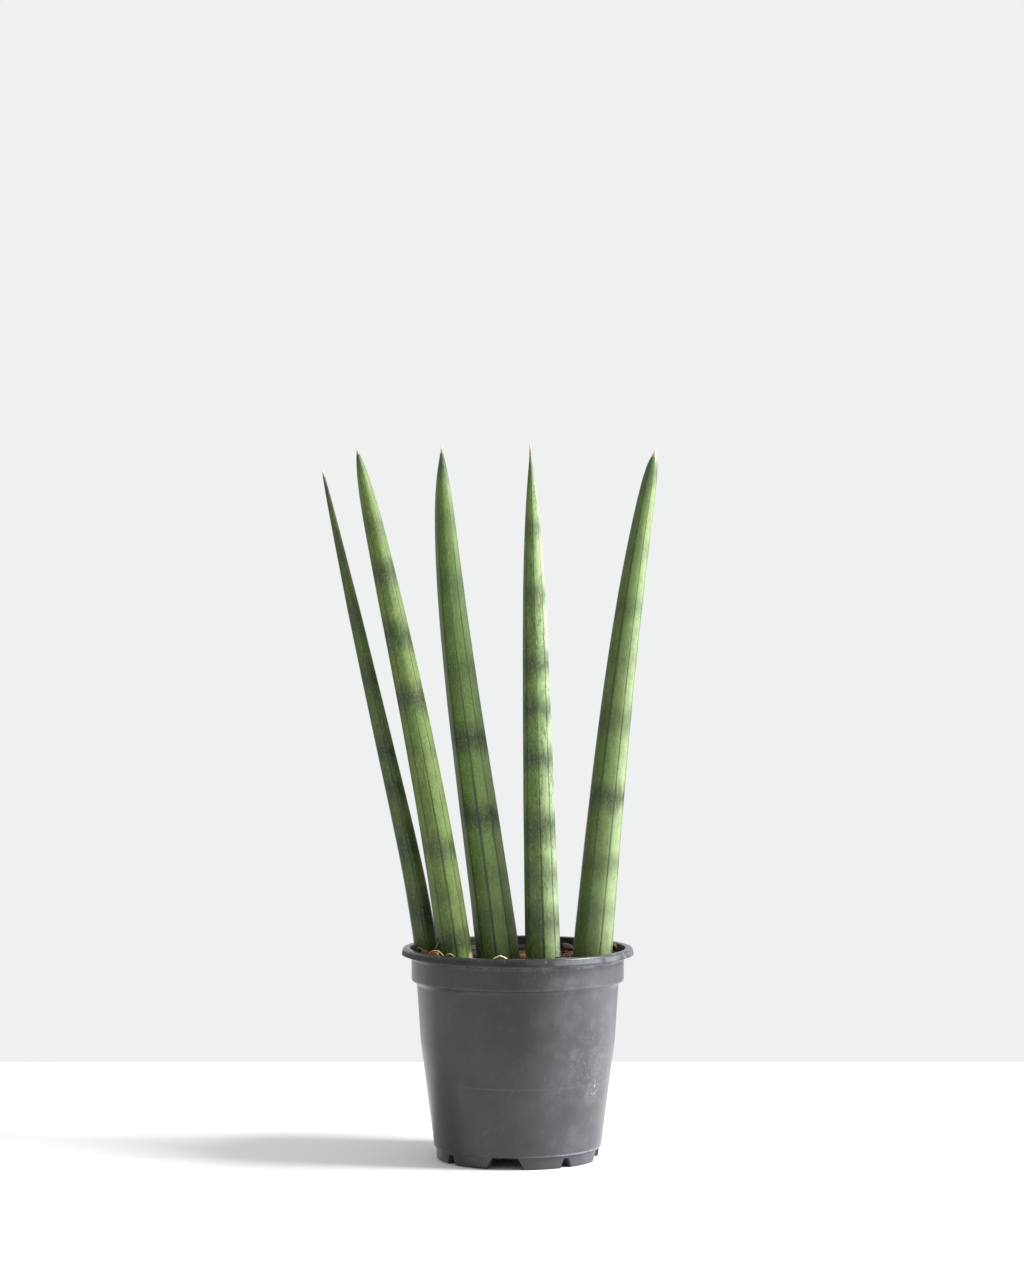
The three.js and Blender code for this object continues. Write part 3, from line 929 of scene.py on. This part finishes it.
class PLANT_OT_leaves(bpy.types.Operator):
    """Grow the five round leaves"""

    bl_idname = "plant.leaves"
    bl_label = "Leaves"

    def execute(self, context):
        leaf = context.scene.plant_leaf
        for node, row in LEAVES.items():
            mesh = leaf_mesh(node, row, leaf)
            piece = make_piece(f"{node}_blade", mesh, leaf_skin(node, row, leaf), math.radians(60))
            settle(piece, node, node)
        return {"FINISHED"}


# ---- the potting mix ----

def mix_level(soil):
    """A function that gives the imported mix's height at a place, bridging the leaf sockets."""
    tree = BVHTree.FromBMesh(soil)
    floor = SOIL_HIGH.z - 8 * MM
    down = Vector((0, 0, -1))

    def cast(x, y):
        hit = tree.ray_cast(Vector((x, y, SOIL_HIGH.z + 5 * MM)), down)[0]
        return hit.z if hit is not None and hit.z > floor else None

    def level(x, y):
        found = cast(x, y)
        reach = 2 * MM
        while found is None and reach < 30 * MM:
            turns = [math.radians(45 * step) for step in range(8)]
            around = [cast(x + reach * math.sin(t), y - reach * math.cos(t)) for t in turns]
            around = [z for z in around if z is not None]
            found = sum(around) / len(around) if around else None
            reach += 2 * MM
        return found if found is not None else SOIL_HIGH.z - 3 * MM

    return level


def crumble(x, y):
    """How far the mix lies under its packed level: rounded crumbs, hollows and fine grit."""
    place = Vector((x, y, 0)) / MM
    near = noise.voronoi(place * 0.42 + Vector((3, 7, 1)))[0][0]
    small = noise.voronoi(place * 0.95 + Vector((11, 2, 5)))[0][0]
    hollow = 0.5 + 0.5 * noise.noise(place * 0.13)
    grit = 0.5 + 0.5 * noise.noise(place * 2.3)
    return (0.12 + 0.95 * min(near, 1) + 0.5 * min(small, 1) + 1.1 * hollow + 0.25 * grit) * MM


def mix_body():
    """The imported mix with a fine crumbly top: a rough block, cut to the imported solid."""
    soil = merged_copy("soil")
    level = mix_level(soil)
    radii = np.linspace(SOIL_RADIUS, 0.6 * MM, 84)
    azimuths = np.linspace(0, 2 * math.pi, 440, endpoint=False)
    across, ahead = np.sin(azimuths), -np.cos(azimuths)
    spare = 1 * MM
    rings = []
    for radius in radii:
        xs = AXIS.x + radius * across
        ys = AXIS.y + radius * ahead
        zs = [level(x, y) - crumble(x, y) for x, y in zip(xs, ys)]
        rings.append(np.stack([xs, ys, zs], axis=1))
    edge = rings[0].copy()
    edge[:, 0] = AXIS.x + (SOIL_RADIUS + spare) * across
    edge[:, 1] = AXIS.y + (SOIL_RADIUS + spare) * ahead
    foot = edge.copy()
    foot[:, 2] = SOIL_LOW.z - spare
    bottom = (AXIS.x, AXIS.y, SOIL_LOW.z - spare)
    top = (AXIS.x, AXIS.y, float(np.mean(rings[-1][:, 2])))
    block = add_object("mix", wrap("mix", [foot, edge, *rings], bottom, top))
    packed = add_object("packed_mix", mesh_of(soil, "packed_mix"))
    cut = block.modifiers.new("cut", "BOOLEAN")
    cut.operation = "INTERSECT"
    cut.solver = "MANIFOLD"
    cut.object = packed
    mesh = applied(block)
    bpy.data.objects.remove(packed)
    bpy.data.objects.remove(block)
    return mesh


def damp_mix(mix):
    """Dark damp peat and bark, drier and browner on its crumbs."""
    finish = Finish("damp_mix", {"IOR": 1.4})
    crumbs = finish.grain(420, detail=4, roughness=0.7, seed=1)
    patches = finish.grain(90, detail=2, seed=4).step(0.4, 0.7)
    dryness = crumbs.step(0.5, 0.75) * (patches * 0.4 + 0.1)
    skin = finish.blend(dryness, tuple(mix.mix), tuple(mix.dry))
    skin = finish.tone(skin, finish.grain(1500, detail=3, seed=6) * 0.9 + 0.5)
    relief = finish.grain(1800, detail=3, roughness=0.7, seed=8)
    return finish.wear(skin, crumbs * 0.2 + 0.72, finish.bump(relief, 0.25 * MM))


def scattered_finish(name, base, other, seed):
    """A dry finish whose colour runs from one colour to another from piece to piece."""
    finish = Finish(name, {"IOR": 1.4})
    piece_tone = finish.grain(260, detail=1, seed=seed).step(0.34, 0.66)
    skin = finish.blend(piece_tone, base, other)
    fine = finish.grain(2200, detail=3, roughness=0.7, seed=seed + 1)
    skin = finish.tone(skin, fine * 0.9 + 0.55)
    return finish.wear(skin, fine * 0.2 + 0.7, finish.bump(fine, 0.12 * MM))


class Scatter(Network):
    """A Geometry Nodes tree that lays copies of a small shape on the top of the mix."""

    INPUTS = {
        "Geometry": "Geometry", "Copies per square metre": "Float", "Smallest": "Float",
        "Largest": "Float", "Flatness": "Float", "Roughness": "Float", "Reach": "Float",
        "Seed": "Int", "Material": "Material",
    }

    def __init__(self, name):
        super().__init__(bpy.data.node_groups.new(name, "GeometryNodeTree"))
        self.sockets = {}
        face = self.tree.interface
        for socket, kind in self.INPUTS.items():
            made = face.new_socket(socket, in_out="INPUT", socket_type=f"NodeSocket{kind}")
            self.sockets[socket] = made.identifier
        face.new_socket("Geometry", in_out="OUTPUT", socket_type="NodeSocketGeometry")
        self.given = self.tree.nodes.new("NodeGroupInput")

    def input(self, name):
        return Channel(self, self.given.outputs[name])

    def random(self, low, high, seed):
        """A number for each point, or a vector where low is one."""
        vector = isinstance(low, tuple)
        settings = {"data_type": "FLOAT_VECTOR" if vector else "FLOAT"}
        first = 0 if vector else 2
        sockets = {first: low, first + 1: high, "Seed": seed}
        return self.node("FunctionNodeRandomValue", settings, sockets, 0 if vector else 1)

    def build(self, shape, lift):
        """Lays the shape on every chosen point, turned and sized at random."""
        place = self.node("GeometryNodeInputPosition")
        normal = self.node("GeometryNodeInputNormal")
        x, y, z = self.parts(self.vector_math("SUBTRACT", place, AXIS))
        from_axis = (x * x + y * y) ** 0.5
        on_top = z.over(SOIL_HIGH.z - 7 * MM) * self.parts(normal)[2].over(0.15)
        chosen = on_top * (1 - from_axis.over(self.input("Reach")))
        points = self.node("GeometryNodeDistributePointsOnFaces", None, {
            "Mesh": self.input("Geometry"), "Selection": chosen,
            "Density": self.input("Copies per square metre"), "Seed": self.input("Seed"),
        })
        tilt = self.random((-0.5, -0.5, 0.0), (0.5, 0.5, 6.2832), 3)
        turned = self.node("FunctionNodeEulerToRotation", None, {0: tilt})
        size = self.random(self.input("Smallest"), self.input("Largest"), 5)
        height = size * self.input("Flatness")
        flat = self.node("ShaderNodeCombineXYZ", None, {0: size, 1: size, 2: height})
        copies = self.node("GeometryNodeInstanceOnPoints", None,
                           {"Points": points, "Instance": shape, "Rotation": turned, "Scale": flat})
        real = self.node("GeometryNodeRealizeInstances", None, {"Geometry": copies})
        lumps = self.node("ShaderNodeTexNoise", None, {"Vector": place, "Scale": 620, "Detail": 1.0},
                          "Color")
        rough = self.vector_math("SUBTRACT", lumps, (0.5, 0.5, 0.5))
        push = self.node("ShaderNodeVectorMath", {"operation": "SCALE"},
                         {0: rough, "Scale": self.input("Roughness")})
        up = self.vector_math("ADD", push, (0, 0, lift))
        moved = self.node("GeometryNodeSetPosition", None, {"Geometry": real, "Offset": up})
        painted = self.node("GeometryNodeSetMaterial", None,
                            {"Geometry": moved, "Material": self.input("Material")})
        out = self.tree.nodes.new("NodeGroupOutput")
        self.feed(out.inputs[0], painted)

    def lay(self, name, surface, material, **values):
        """The scattered copies as a plain piece."""
        piece = add_object(name, surface.data)
        modifier = piece.modifiers.new("scatter", "NODES")
        modifier.node_group = self.tree
        for key, value in values.items():
            modifier[self.sockets[key.replace("_", " ").capitalize()]] = value
        modifier[self.sockets["Material"]] = material
        mesh = applied(piece)
        piece.modifiers.remove(modifier)
        piece.data = mesh
        return piece


def crumb_tree():
    """Rounded crumbs."""
    tree = Scatter("crumbs")
    ball = tree.node("GeometryNodeMeshIcoSphere", None, {"Radius": 1.0, "Subdivisions": 1})
    tree.build(ball, 0.1 * MM)
    return tree


def bit_tree():
    """Broken blocks of bark."""
    tree = Scatter("bark_bits")
    sockets = {"Size": (2.6, 1.3, 1.0), "Vertices X": 4, "Vertices Y": 3, "Vertices Z": 2}
    tree.build(tree.node("GeometryNodeMeshCube", None, sockets), 0.3 * MM)
    return tree


def fibre_tree():
    """Thin bent threads, a few millimetres long."""
    tree = Scatter("coir_fibres")
    sockets = {"Resolution": 7, "Start": (-1, 0, 0), "Middle": (0.1, 0.9, 0.45),
               "End": (1, -0.1, 0.05)}
    path = tree.node("GeometryNodeCurveQuadraticBezier", None, sockets)
    section = tree.node("GeometryNodeCurvePrimitiveCircle", None, {"Resolution": 4, "Radius": 0.028})
    thread = tree.node("GeometryNodeCurveToMesh", None,
                       {"Curve": path, "Profile Curve": section, "Fill Caps": True})
    tree.build(thread, 0.25 * MM)
    return tree


class PLANT_OT_mix(bpy.types.Operator):
    """Fill the pot with crumbly potting mix"""

    bl_idname = "plant.mix"
    bl_label = "Potting mix"

    def execute(self, context):
        mix = context.scene.plant_mix
        body = make_piece("potting_mix", mix_body(), damp_mix(mix))
        settle(body, "potting_mix", "soil")
        damp, dry = tuple(mix.mix), tuple(mix.dry)
        dull = tuple(channel * 0.5 for channel in mix.bark)
        # Name, tree, slot, the two colours and the number on each square millimetre, then the
        # height for a width of 1, and in millimetres the smallest and the largest copy, its
        # roughness, and how far from the axis the copies lie.
        strewn = (
            ("mix_crumbs", crumb_tree, "potting_mix", damp, dry, mix.crumbs,
             0.8, 0.3, 1.0, 0.9, 47.4),
            ("mix_bark_bits", bit_tree, "bark", dull, (0.03, 0.016, 0.01), mix.bits,
             0.45, 0.5, 1.5, 0.9, 45),
            ("mix_fibres", fibre_tree, "bark", tuple(mix.fibre), (0.12, 0.05, 0.025), mix.fibres,
             0.6, 1.6, 4.2, 0.8, 42.5),
        )
        for number, row in enumerate(strewn):
            name, tree, slot, base, other, density, flatness, smallest, largest, rough, reach = row
            piece = tree().lay(
                name, body, scattered_finish(name, base, other, 3 + 2 * number),
                copies_per_square_metre=density / MM ** 2, flatness=flatness,
                smallest=smallest * MM, largest=largest * MM, roughness=rough * MM,
                reach=reach * MM, seed=mix.seed + number,
            )
            settle(piece, slot)
        return {"FINISHED"}


# ---- the rootstock ----

def root_skin(mix):
    """Pale corky root skin with brown ring scars."""
    finish = Finish("root_skin", {"IOR": 1.4})
    scars = finish.grain(420, (1, 0.2, 0.2), detail=2, seed=2).step(0.55, 0.7)
    skin = finish.blend(scars * 0.6, tuple(mix.root), (0.16, 0.07, 0.03))
    fine = finish.grain(1500, detail=3, seed=4)
    skin = finish.tone(skin, fine * 0.6 + 0.7)
    return finish.wear(skin, fine * 0.2 + 0.65, finish.bump(fine + scars * 0.7, 0.2 * MM))


class PLANT_OT_rootstock(bpy.types.Operator):
    """Round off the buried rootstock and its roots"""

    bl_idname = "plant.rootstock"
    bl_label = "Rootstock"

    def execute(self, context):
        holder = add_object("rootstock_rough", mesh_of(merged_copy("rootstock"), "rootstock_rough"))
        remesh = holder.modifiers.new("remesh", "REMESH")
        remesh.mode = "VOXEL"
        remesh.voxel_size = 0.7 * MM
        smooth = holder.modifiers.new("smooth", "SMOOTH")
        smooth.iterations = 6
        mesh = applied(holder)
        bpy.data.objects.remove(holder)
        outwards = [vertex.normal.copy() for vertex in mesh.vertices]
        for vertex, normal in zip(mesh.vertices, outwards):
            wander = 2 * noise.noise(vertex.co / (4 * MM))
            ring = 0.5 + 0.5 * math.sin(vertex.co.x / (1.1 * MM) + wander)
            vertex.co -= normal * 0.18 * MM * ring
        piece = make_piece("rootstock_rhizome", mesh, root_skin(context.scene.plant_mix))
        settle(piece, "root", "rootstock")
        return {"FINISHED"}


# ---- bark chips, coir strands and the husk ----

CHIP_NODES = sorted(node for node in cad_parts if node.startswith("bark_chip"))

# How each chip differs, in the order of CHIP_NODES: brightness of its bark, and painted shade, for the
# chips further in lie in the leaves' shade and are made much darker.
CHIP_TONES_AND_SHADE = [1.3, 0.35, 0.4, 0.35, 1.4, 0.9, 0.8, 1.3, 0.8, 0.16, 0.5, 0.3, 0.3]

# Strands of coir on the mix: the radius at the middle and the points in millimetres, from the
# pot's axis and above the table, and the brightness.
STRANDS = [
    (0.52, 2.1, [(-42.5, -17, 95.0), (-40.3, -17.6, 97.4), (-38.2, -18, 98.2),
                 (-36.4, -18.2, 97.9), (-34.6, -18.4, 96.4), (-33.6, -18.6, 95.0)]),
    (0.36, 1.0, [(-41.2, -18.2, 95.2), (-39.2, -18.6, 97.1), (-37.2, -18.8, 97.4),
                 (-35.9, -19, 95.6)]),
    (0.26, 0.3, [(-37.4, -13.5, 94.5), (-36.9, -13.8, 98.5), (-36.6, -13.7, 101.8),
                 (-37.1, -13.2, 104.4)]),
    (0.22, 1.6, [(-38.6, -14.5, 97.4), (-37.7, -14.3, 99.6), (-36.4, -14, 101.4),
                 (-35.9, -13.6, 104.0)]),
    (0.43, 1.9, [(-33.6, -19.5, 95.0), (-32.2, -19.8, 96.8), (-30.2, -20, 96.6),
                 (-28.8, -20.2, 95.0)]),
    (0.43, 1.5, [(-47.4, -4, 95.6), (-46.2, -6.5, 98.3), (-44.3, -8.4, 97.8), (-43.2, -9.6, 95.9)]),
    (0.26, 0.9, [(36.5, 14, 95.4), (39.5, 14.6, 97.9), (42.5, 15.2, 97.2), (44.5, 15.4, 95.4)]),
    (0.25, 0.8, [(1.2, -24, 95.2), (3.0, -24.4, 96.8), (4.6, -24.2, 95.5)]),
]


def bark_skin(name, base, tone):
    """Fibrous bark or coir: drawn out grain and dark cracks."""
    finish = Finish(name, {"IOR": 1.4})
    base = tuple(min(1.0, channel * tone) for channel in base)
    grain = finish.attribute("grain", "Vector")
    drawn_out = finish.scaled(grain, (0.12, 1, 1))
    long_grain = finish.noise(drawn_out, 2200, detail=3, roughness=0.7, seed=3)
    cracks = finish.noise(finish.scaled(grain, (0.2, 1, 1)), 700, detail=2, seed=9).step(0.58, 0.68)
    skin = finish.tone(base, long_grain * 1.3 + 0.35)
    skin = finish.blend(cracks * 0.75, skin, (0.02, 0.01, 0.006))
    return finish.wear(skin, long_grain * 0.25 + 0.6, finish.bump(long_grain - cracks, 0.2 * MM))


def store_grain(mesh):
    """Each point's place along, across and through the piece, for the grain."""
    points = np.array([vertex.co for vertex in mesh.vertices])
    centred = points - points.mean(axis=0)
    axes = np.linalg.svd(centred, full_matrices=False)[2]
    attribute = mesh.attributes.new("grain", "FLOAT_VECTOR", "POINT")
    attribute.data.foreach_set("vector", (centred @ axes.T).astype(np.float32).ravel())


def chip_mesh(node, seed):
    """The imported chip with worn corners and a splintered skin."""
    copy = merged_copy(node)
    bmesh.ops.subdivide_edges(copy, edges=copy.edges, cuts=5, use_grid_fill=True)
    bmesh.ops.triangulate(copy, faces=copy.faces)
    for _ in range(3):
        bmesh.ops.smooth_vert(copy, verts=copy.verts, factor=0.4,
                              use_axis_x=True, use_axis_y=True, use_axis_z=True)
    copy.normal_update()
    offset = Vector((seed, 2 * seed, 0))
    for vertex in copy.verts:
        rough = noise.turbulence(vertex.co / (1.3 * MM) + offset, 3, False)
        vertex.co -= vertex.normal * min(0.5, max(0, rough)) * 0.55 * MM
    mesh = mesh_of(copy, node)
    store_grain(mesh)
    return mesh


def strand_mesh(name, thickness, points):
    """A flattened, tapering strand through the points."""
    points = np.array(points) * MM + np.array(AXIS)
    knots = np.arange(len(points), dtype=float)
    at = np.linspace(0, knots[-1], 10 * len(points))
    path = np.stack([smooth_between(knots, points[:, axis], at) for axis in range(3)], axis=1)
    ahead = np.gradient(path, axis=0)
    ahead /= np.linalg.norm(ahead, axis=1)[:, None]
    side = np.cross(ahead, (0.1, 1, 0.05))
    side /= np.linalg.norm(side, axis=1)[:, None]
    over = np.cross(ahead, side)
    turns = np.linspace(0, 2 * math.pi, 10, endpoint=False)
    flatness = 0.55
    rings = []
    for number, centre in enumerate(path):
        t = number / (len(path) - 1)
        radius = thickness * MM * (0.35 + 0.65 * math.sin(math.pi * t) ** 0.6)
        radius *= 1 + 0.25 * noise.noise(centre / (1.1 * MM))
        narrow = np.outer(np.cos(turns), side[number]) * flatness
        wide = np.outer(np.sin(turns), over[number])
        rings.append(centre + radius * (narrow + wide))
    mesh = wrap(name, rings, path[0], path[-1])
    tidy_normals(mesh)
    store_grain(mesh)
    return mesh


def tidy_normals(mesh):
    """Turns every face outwards."""
    shape = bmesh.new()
    shape.from_mesh(mesh)
    bmesh.ops.recalc_face_normals(shape, faces=shape.faces)
    shape.to_mesh(mesh)
    shape.free()


class PLANT_OT_bark(bpy.types.Operator):
    """Lay the bark chips and the coir strands on the mix"""

    bl_idname = "plant.bark"
    bl_label = "Bark and coir"

    def execute(self, context):
        mix = context.scene.plant_mix
        for number, node in enumerate(CHIP_NODES):
            skin = bark_skin(f"{node}_skin", mix.bark, CHIP_TONES_AND_SHADE[number])
            settle(make_piece(f"{node}_flake", chip_mesh(node, number), skin), "bark", node)
        for number, (thickness, tone, points) in enumerate(STRANDS):
            name = f"coir_strand_{number + 1}"
            skin = bark_skin(f"{name}_skin", mix.coir, tone)
            settle(make_piece(name, strand_mesh(name, thickness, points), skin), "bark")
        return {"FINISHED"}


def husk_skin(mix):
    """Dry papery leaf husk, cream with brown stains and fine veins."""
    finish = Finish("husk_skin", {"IOR": 1.4})
    veins = finish.grain(1700, (0.1, 1, 1), detail=2, seed=1)
    stains = finish.grain(330, detail=3, seed=5).step(0.5, 0.72)
    skin = finish.tone(tuple(mix.husk), veins * 0.5 + 0.72)
    skin = finish.blend(stains * 0.6, skin, (0.24, 0.11, 0.045))
    return finish.wear(skin, veins * 0.2 + 0.6, finish.bump(veins, 0.12 * MM))


class PLANT_OT_husk(bpy.types.Operator):
    """Lay the curled scrap of dry leaf husk on the mix"""

    bl_idname = "plant.husk"
    bl_label = "Dry husk"

    def execute(self, context):
        low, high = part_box("dry_husk")
        size = high - low
        middle = (low + high) / 2
        thickness = 0.22 * MM
        columns, rows = 48, 16
        shape = bmesh.new()
        grid = []
        for i in range(columns + 1):
            s = 2 * i / columns - 1
            across = (1 - 0.55 * abs(s) ** 3) * (1 + 0.12 * math.sin(9 * s))
            line = []
            for j in range(rows + 1):
                t = 2 * j / rows - 1
                arch = (1 - abs(s) ** 1.25) * (size.z - 2 * thickness)
                curl = 0.55 * MM * t * t * (0.4 + 0.6 * abs(s))
                wave = 0.12 * MM * noise.noise(Vector((3 * s, 2 * t, 0.5)))
                z = low.z + thickness + max(0, arch - curl + wave)
                y = middle.y + t * across * (size.y / 2 - thickness) * 0.9
                line.append(shape.verts.new((middle.x + s * (size.x / 2 - thickness), y, z)))
            grid.append(line)
        for i in range(columns):
            for j in range(rows):
                shape.faces.new((grid[i][j], grid[i + 1][j], grid[i + 1][j + 1], grid[i][j + 1]))
        bmesh.ops.recalc_face_normals(shape, faces=shape.faces)
        bmesh.ops.solidify(shape, geom=shape.faces, thickness=thickness)
        mesh = mesh_of(shape, "husk")
        tidy_normals(mesh)
        piece = make_piece("leaf_husk", mesh, husk_skin(context.scene.plant_mix))
        settle(piece, "husk", "dry_husk")
        return {"FINISHED"}


# ---- table, light and camera ----

# In metres: the table's width, depth and thickness, the window's side and its place from the
# pot's axis, and the point above the table that it faces.
TABLE_SIZE = (4, 2.4, 0.04)
WINDOW_SIDE = 0.5
WINDOW_PLACE = Vector((1.05, -0.2, 0.95))
WINDOW_AIM = Vector((0, 0, 0.10))

# The camera's focal length in millimetres, and how far it stands left of the pot's axis.
FOCAL_LENGTH = 102.4
CAMERA_ASIDE = 2.65 * MM


def table_top(stage):
    """White painted board, very slightly uneven."""
    finish = Finish("table_top", {"IOR": 1.45})
    cloud = finish.grain(9, detail=3, seed=2)
    fine = finish.grain(300, detail=3, seed=3)
    skin = finish.tone(tuple(stage.table), cloud * 0.03 + 0.985)
    return finish.wear(skin, fine * 0.1 + 0.6, finish.bump(fine, 0.05 * MM))


class PLANT_OT_stage(bpy.types.Operator):
    """Set the table, the soft light and the camera"""

    bl_idname = "plant.stage"
    bl_label = "Table, light and camera"

    def execute(self, context):
        stage = context.scene.plant_stage
        self.make_table(stage)
        self.light_room(context, stage)
        self.add_window(stage)
        self.add_camera(context, stage)
        context.scene.view_settings.view_transform = "Standard"
        return {"FINISHED"}

    def make_table(self, stage):
        board = bmesh.new()
        bmesh.ops.create_cube(board, size=1)
        width, depth, thickness = TABLE_SIZE
        for vertex in board.verts:
            x, y, z = vertex.co
            vertex.co = (x * width, y * depth, (z - 0.5) * thickness)
            vertex.co.y += stage.table_behind - depth / 2
        bmesh.ops.bevel(board, geom=board.edges, offset=2 * MM, segments=3, affect="EDGES")
        make_piece("table", mesh_of(board, "table"), table_top(stage))

    def light_room(self, context, stage):
        world = bpy.data.worlds.new("room")
        world.use_nodes = True
        context.scene.world = world
        room = Network(world.node_tree)
        room.tree.nodes.clear()
        seen = room.node("ShaderNodeLightPath", output="Is Camera Ray")
        seen = seen.most(room.node("ShaderNodeLightPath", output="Is Glossy Ray"))
        sky = {"Color": (0.97, 0.985, 1.0), "Strength": stage.room}
        glow = room.node("ShaderNodeBackground", None, sky)
        backdrop = {"Color": tuple(stage.wall), "Strength": 1.0}
        wall = room.node("ShaderNodeBackground", None, backdrop)
        mixed = room.node("ShaderNodeMixShader", None, {0: seen, 1: glow, 2: wall})
        out = room.tree.nodes.new("ShaderNodeOutputWorld")
        room.feed(out.inputs["Surface"], mixed)

    def add_window(self, stage):
        data = bpy.data.lights.new("window", "AREA")
        data.shape = "RECTANGLE"
        data.size = WINDOW_SIDE
        data.size_y = WINDOW_SIDE
        data.energy = stage.window
        data.color = (1.0, 0.985, 0.96)
        window = add_object("window", data)
        window.location = AXIS + WINDOW_PLACE
        aim = AXIS + WINDOW_AIM - window.location
        window.rotation_euler = aim.to_track_quat("-Z", "Y").to_euler()

    def add_camera(self, context, stage):
        data = bpy.data.cameras.new("camera")
        data.lens = FOCAL_LENGTH
        data.clip_end = 20
        camera = add_object("camera", data)
        camera.location = (AXIS.x - CAMERA_ASIDE, -stage.camera_away, stage.camera_height)
        camera.rotation_euler = (math.pi / 2 - stage.camera_pitch, 0, 0)
        context.scene.camera = camera


# ---- the add-on ----

PIECES = (PLANT_OT_pot, PLANT_OT_mix, PLANT_OT_rootstock, PLANT_OT_leaves, PLANT_OT_bark,
          PLANT_OT_husk, PLANT_OT_stage)
SETTINGS = {"plant_pot": PotSettings, "plant_leaf": LeafSettings, "plant_mix": MixSettings,
            "plant_stage": StageSettings}


class PLANT_PT_panel(bpy.types.Panel):
    """Lists the pieces of the plant in the sidebar"""

    bl_label = "Snake plant"
    bl_space_type = "VIEW_3D"
    bl_region_type = "UI"
    bl_category = "Snake plant"

    def draw(self, context):
        for piece in PIECES:
            self.layout.operator(piece.bl_idname, text=piece.bl_label)
        for name in SETTINGS:
            settings = getattr(context.scene, name)
            box = self.layout.box()
            for key in settings.bl_rna.properties.keys():
                if key not in ("name", "rna_type"):
                    box.prop(settings, key)


CLASSES = (*SETTINGS.values(), *PIECES, PLANT_PT_panel)


def register():
    for made in CLASSES:
        bpy.utils.register_class(made)
    for name, group in SETTINGS.items():
        setattr(bpy.types.Scene, name, bpy.props.PointerProperty(type=group))


def unregister():
    for name in SETTINGS:
        delattr(bpy.types.Scene, name)
    for made in reversed(CLASSES):
        bpy.utils.unregister_class(made)


def main():
    register()
    for piece in PIECES:
        group, name = piece.bl_idname.split(".")
        getattr(getattr(bpy.ops, group), name)()


if __name__ == "__main__":
    main()
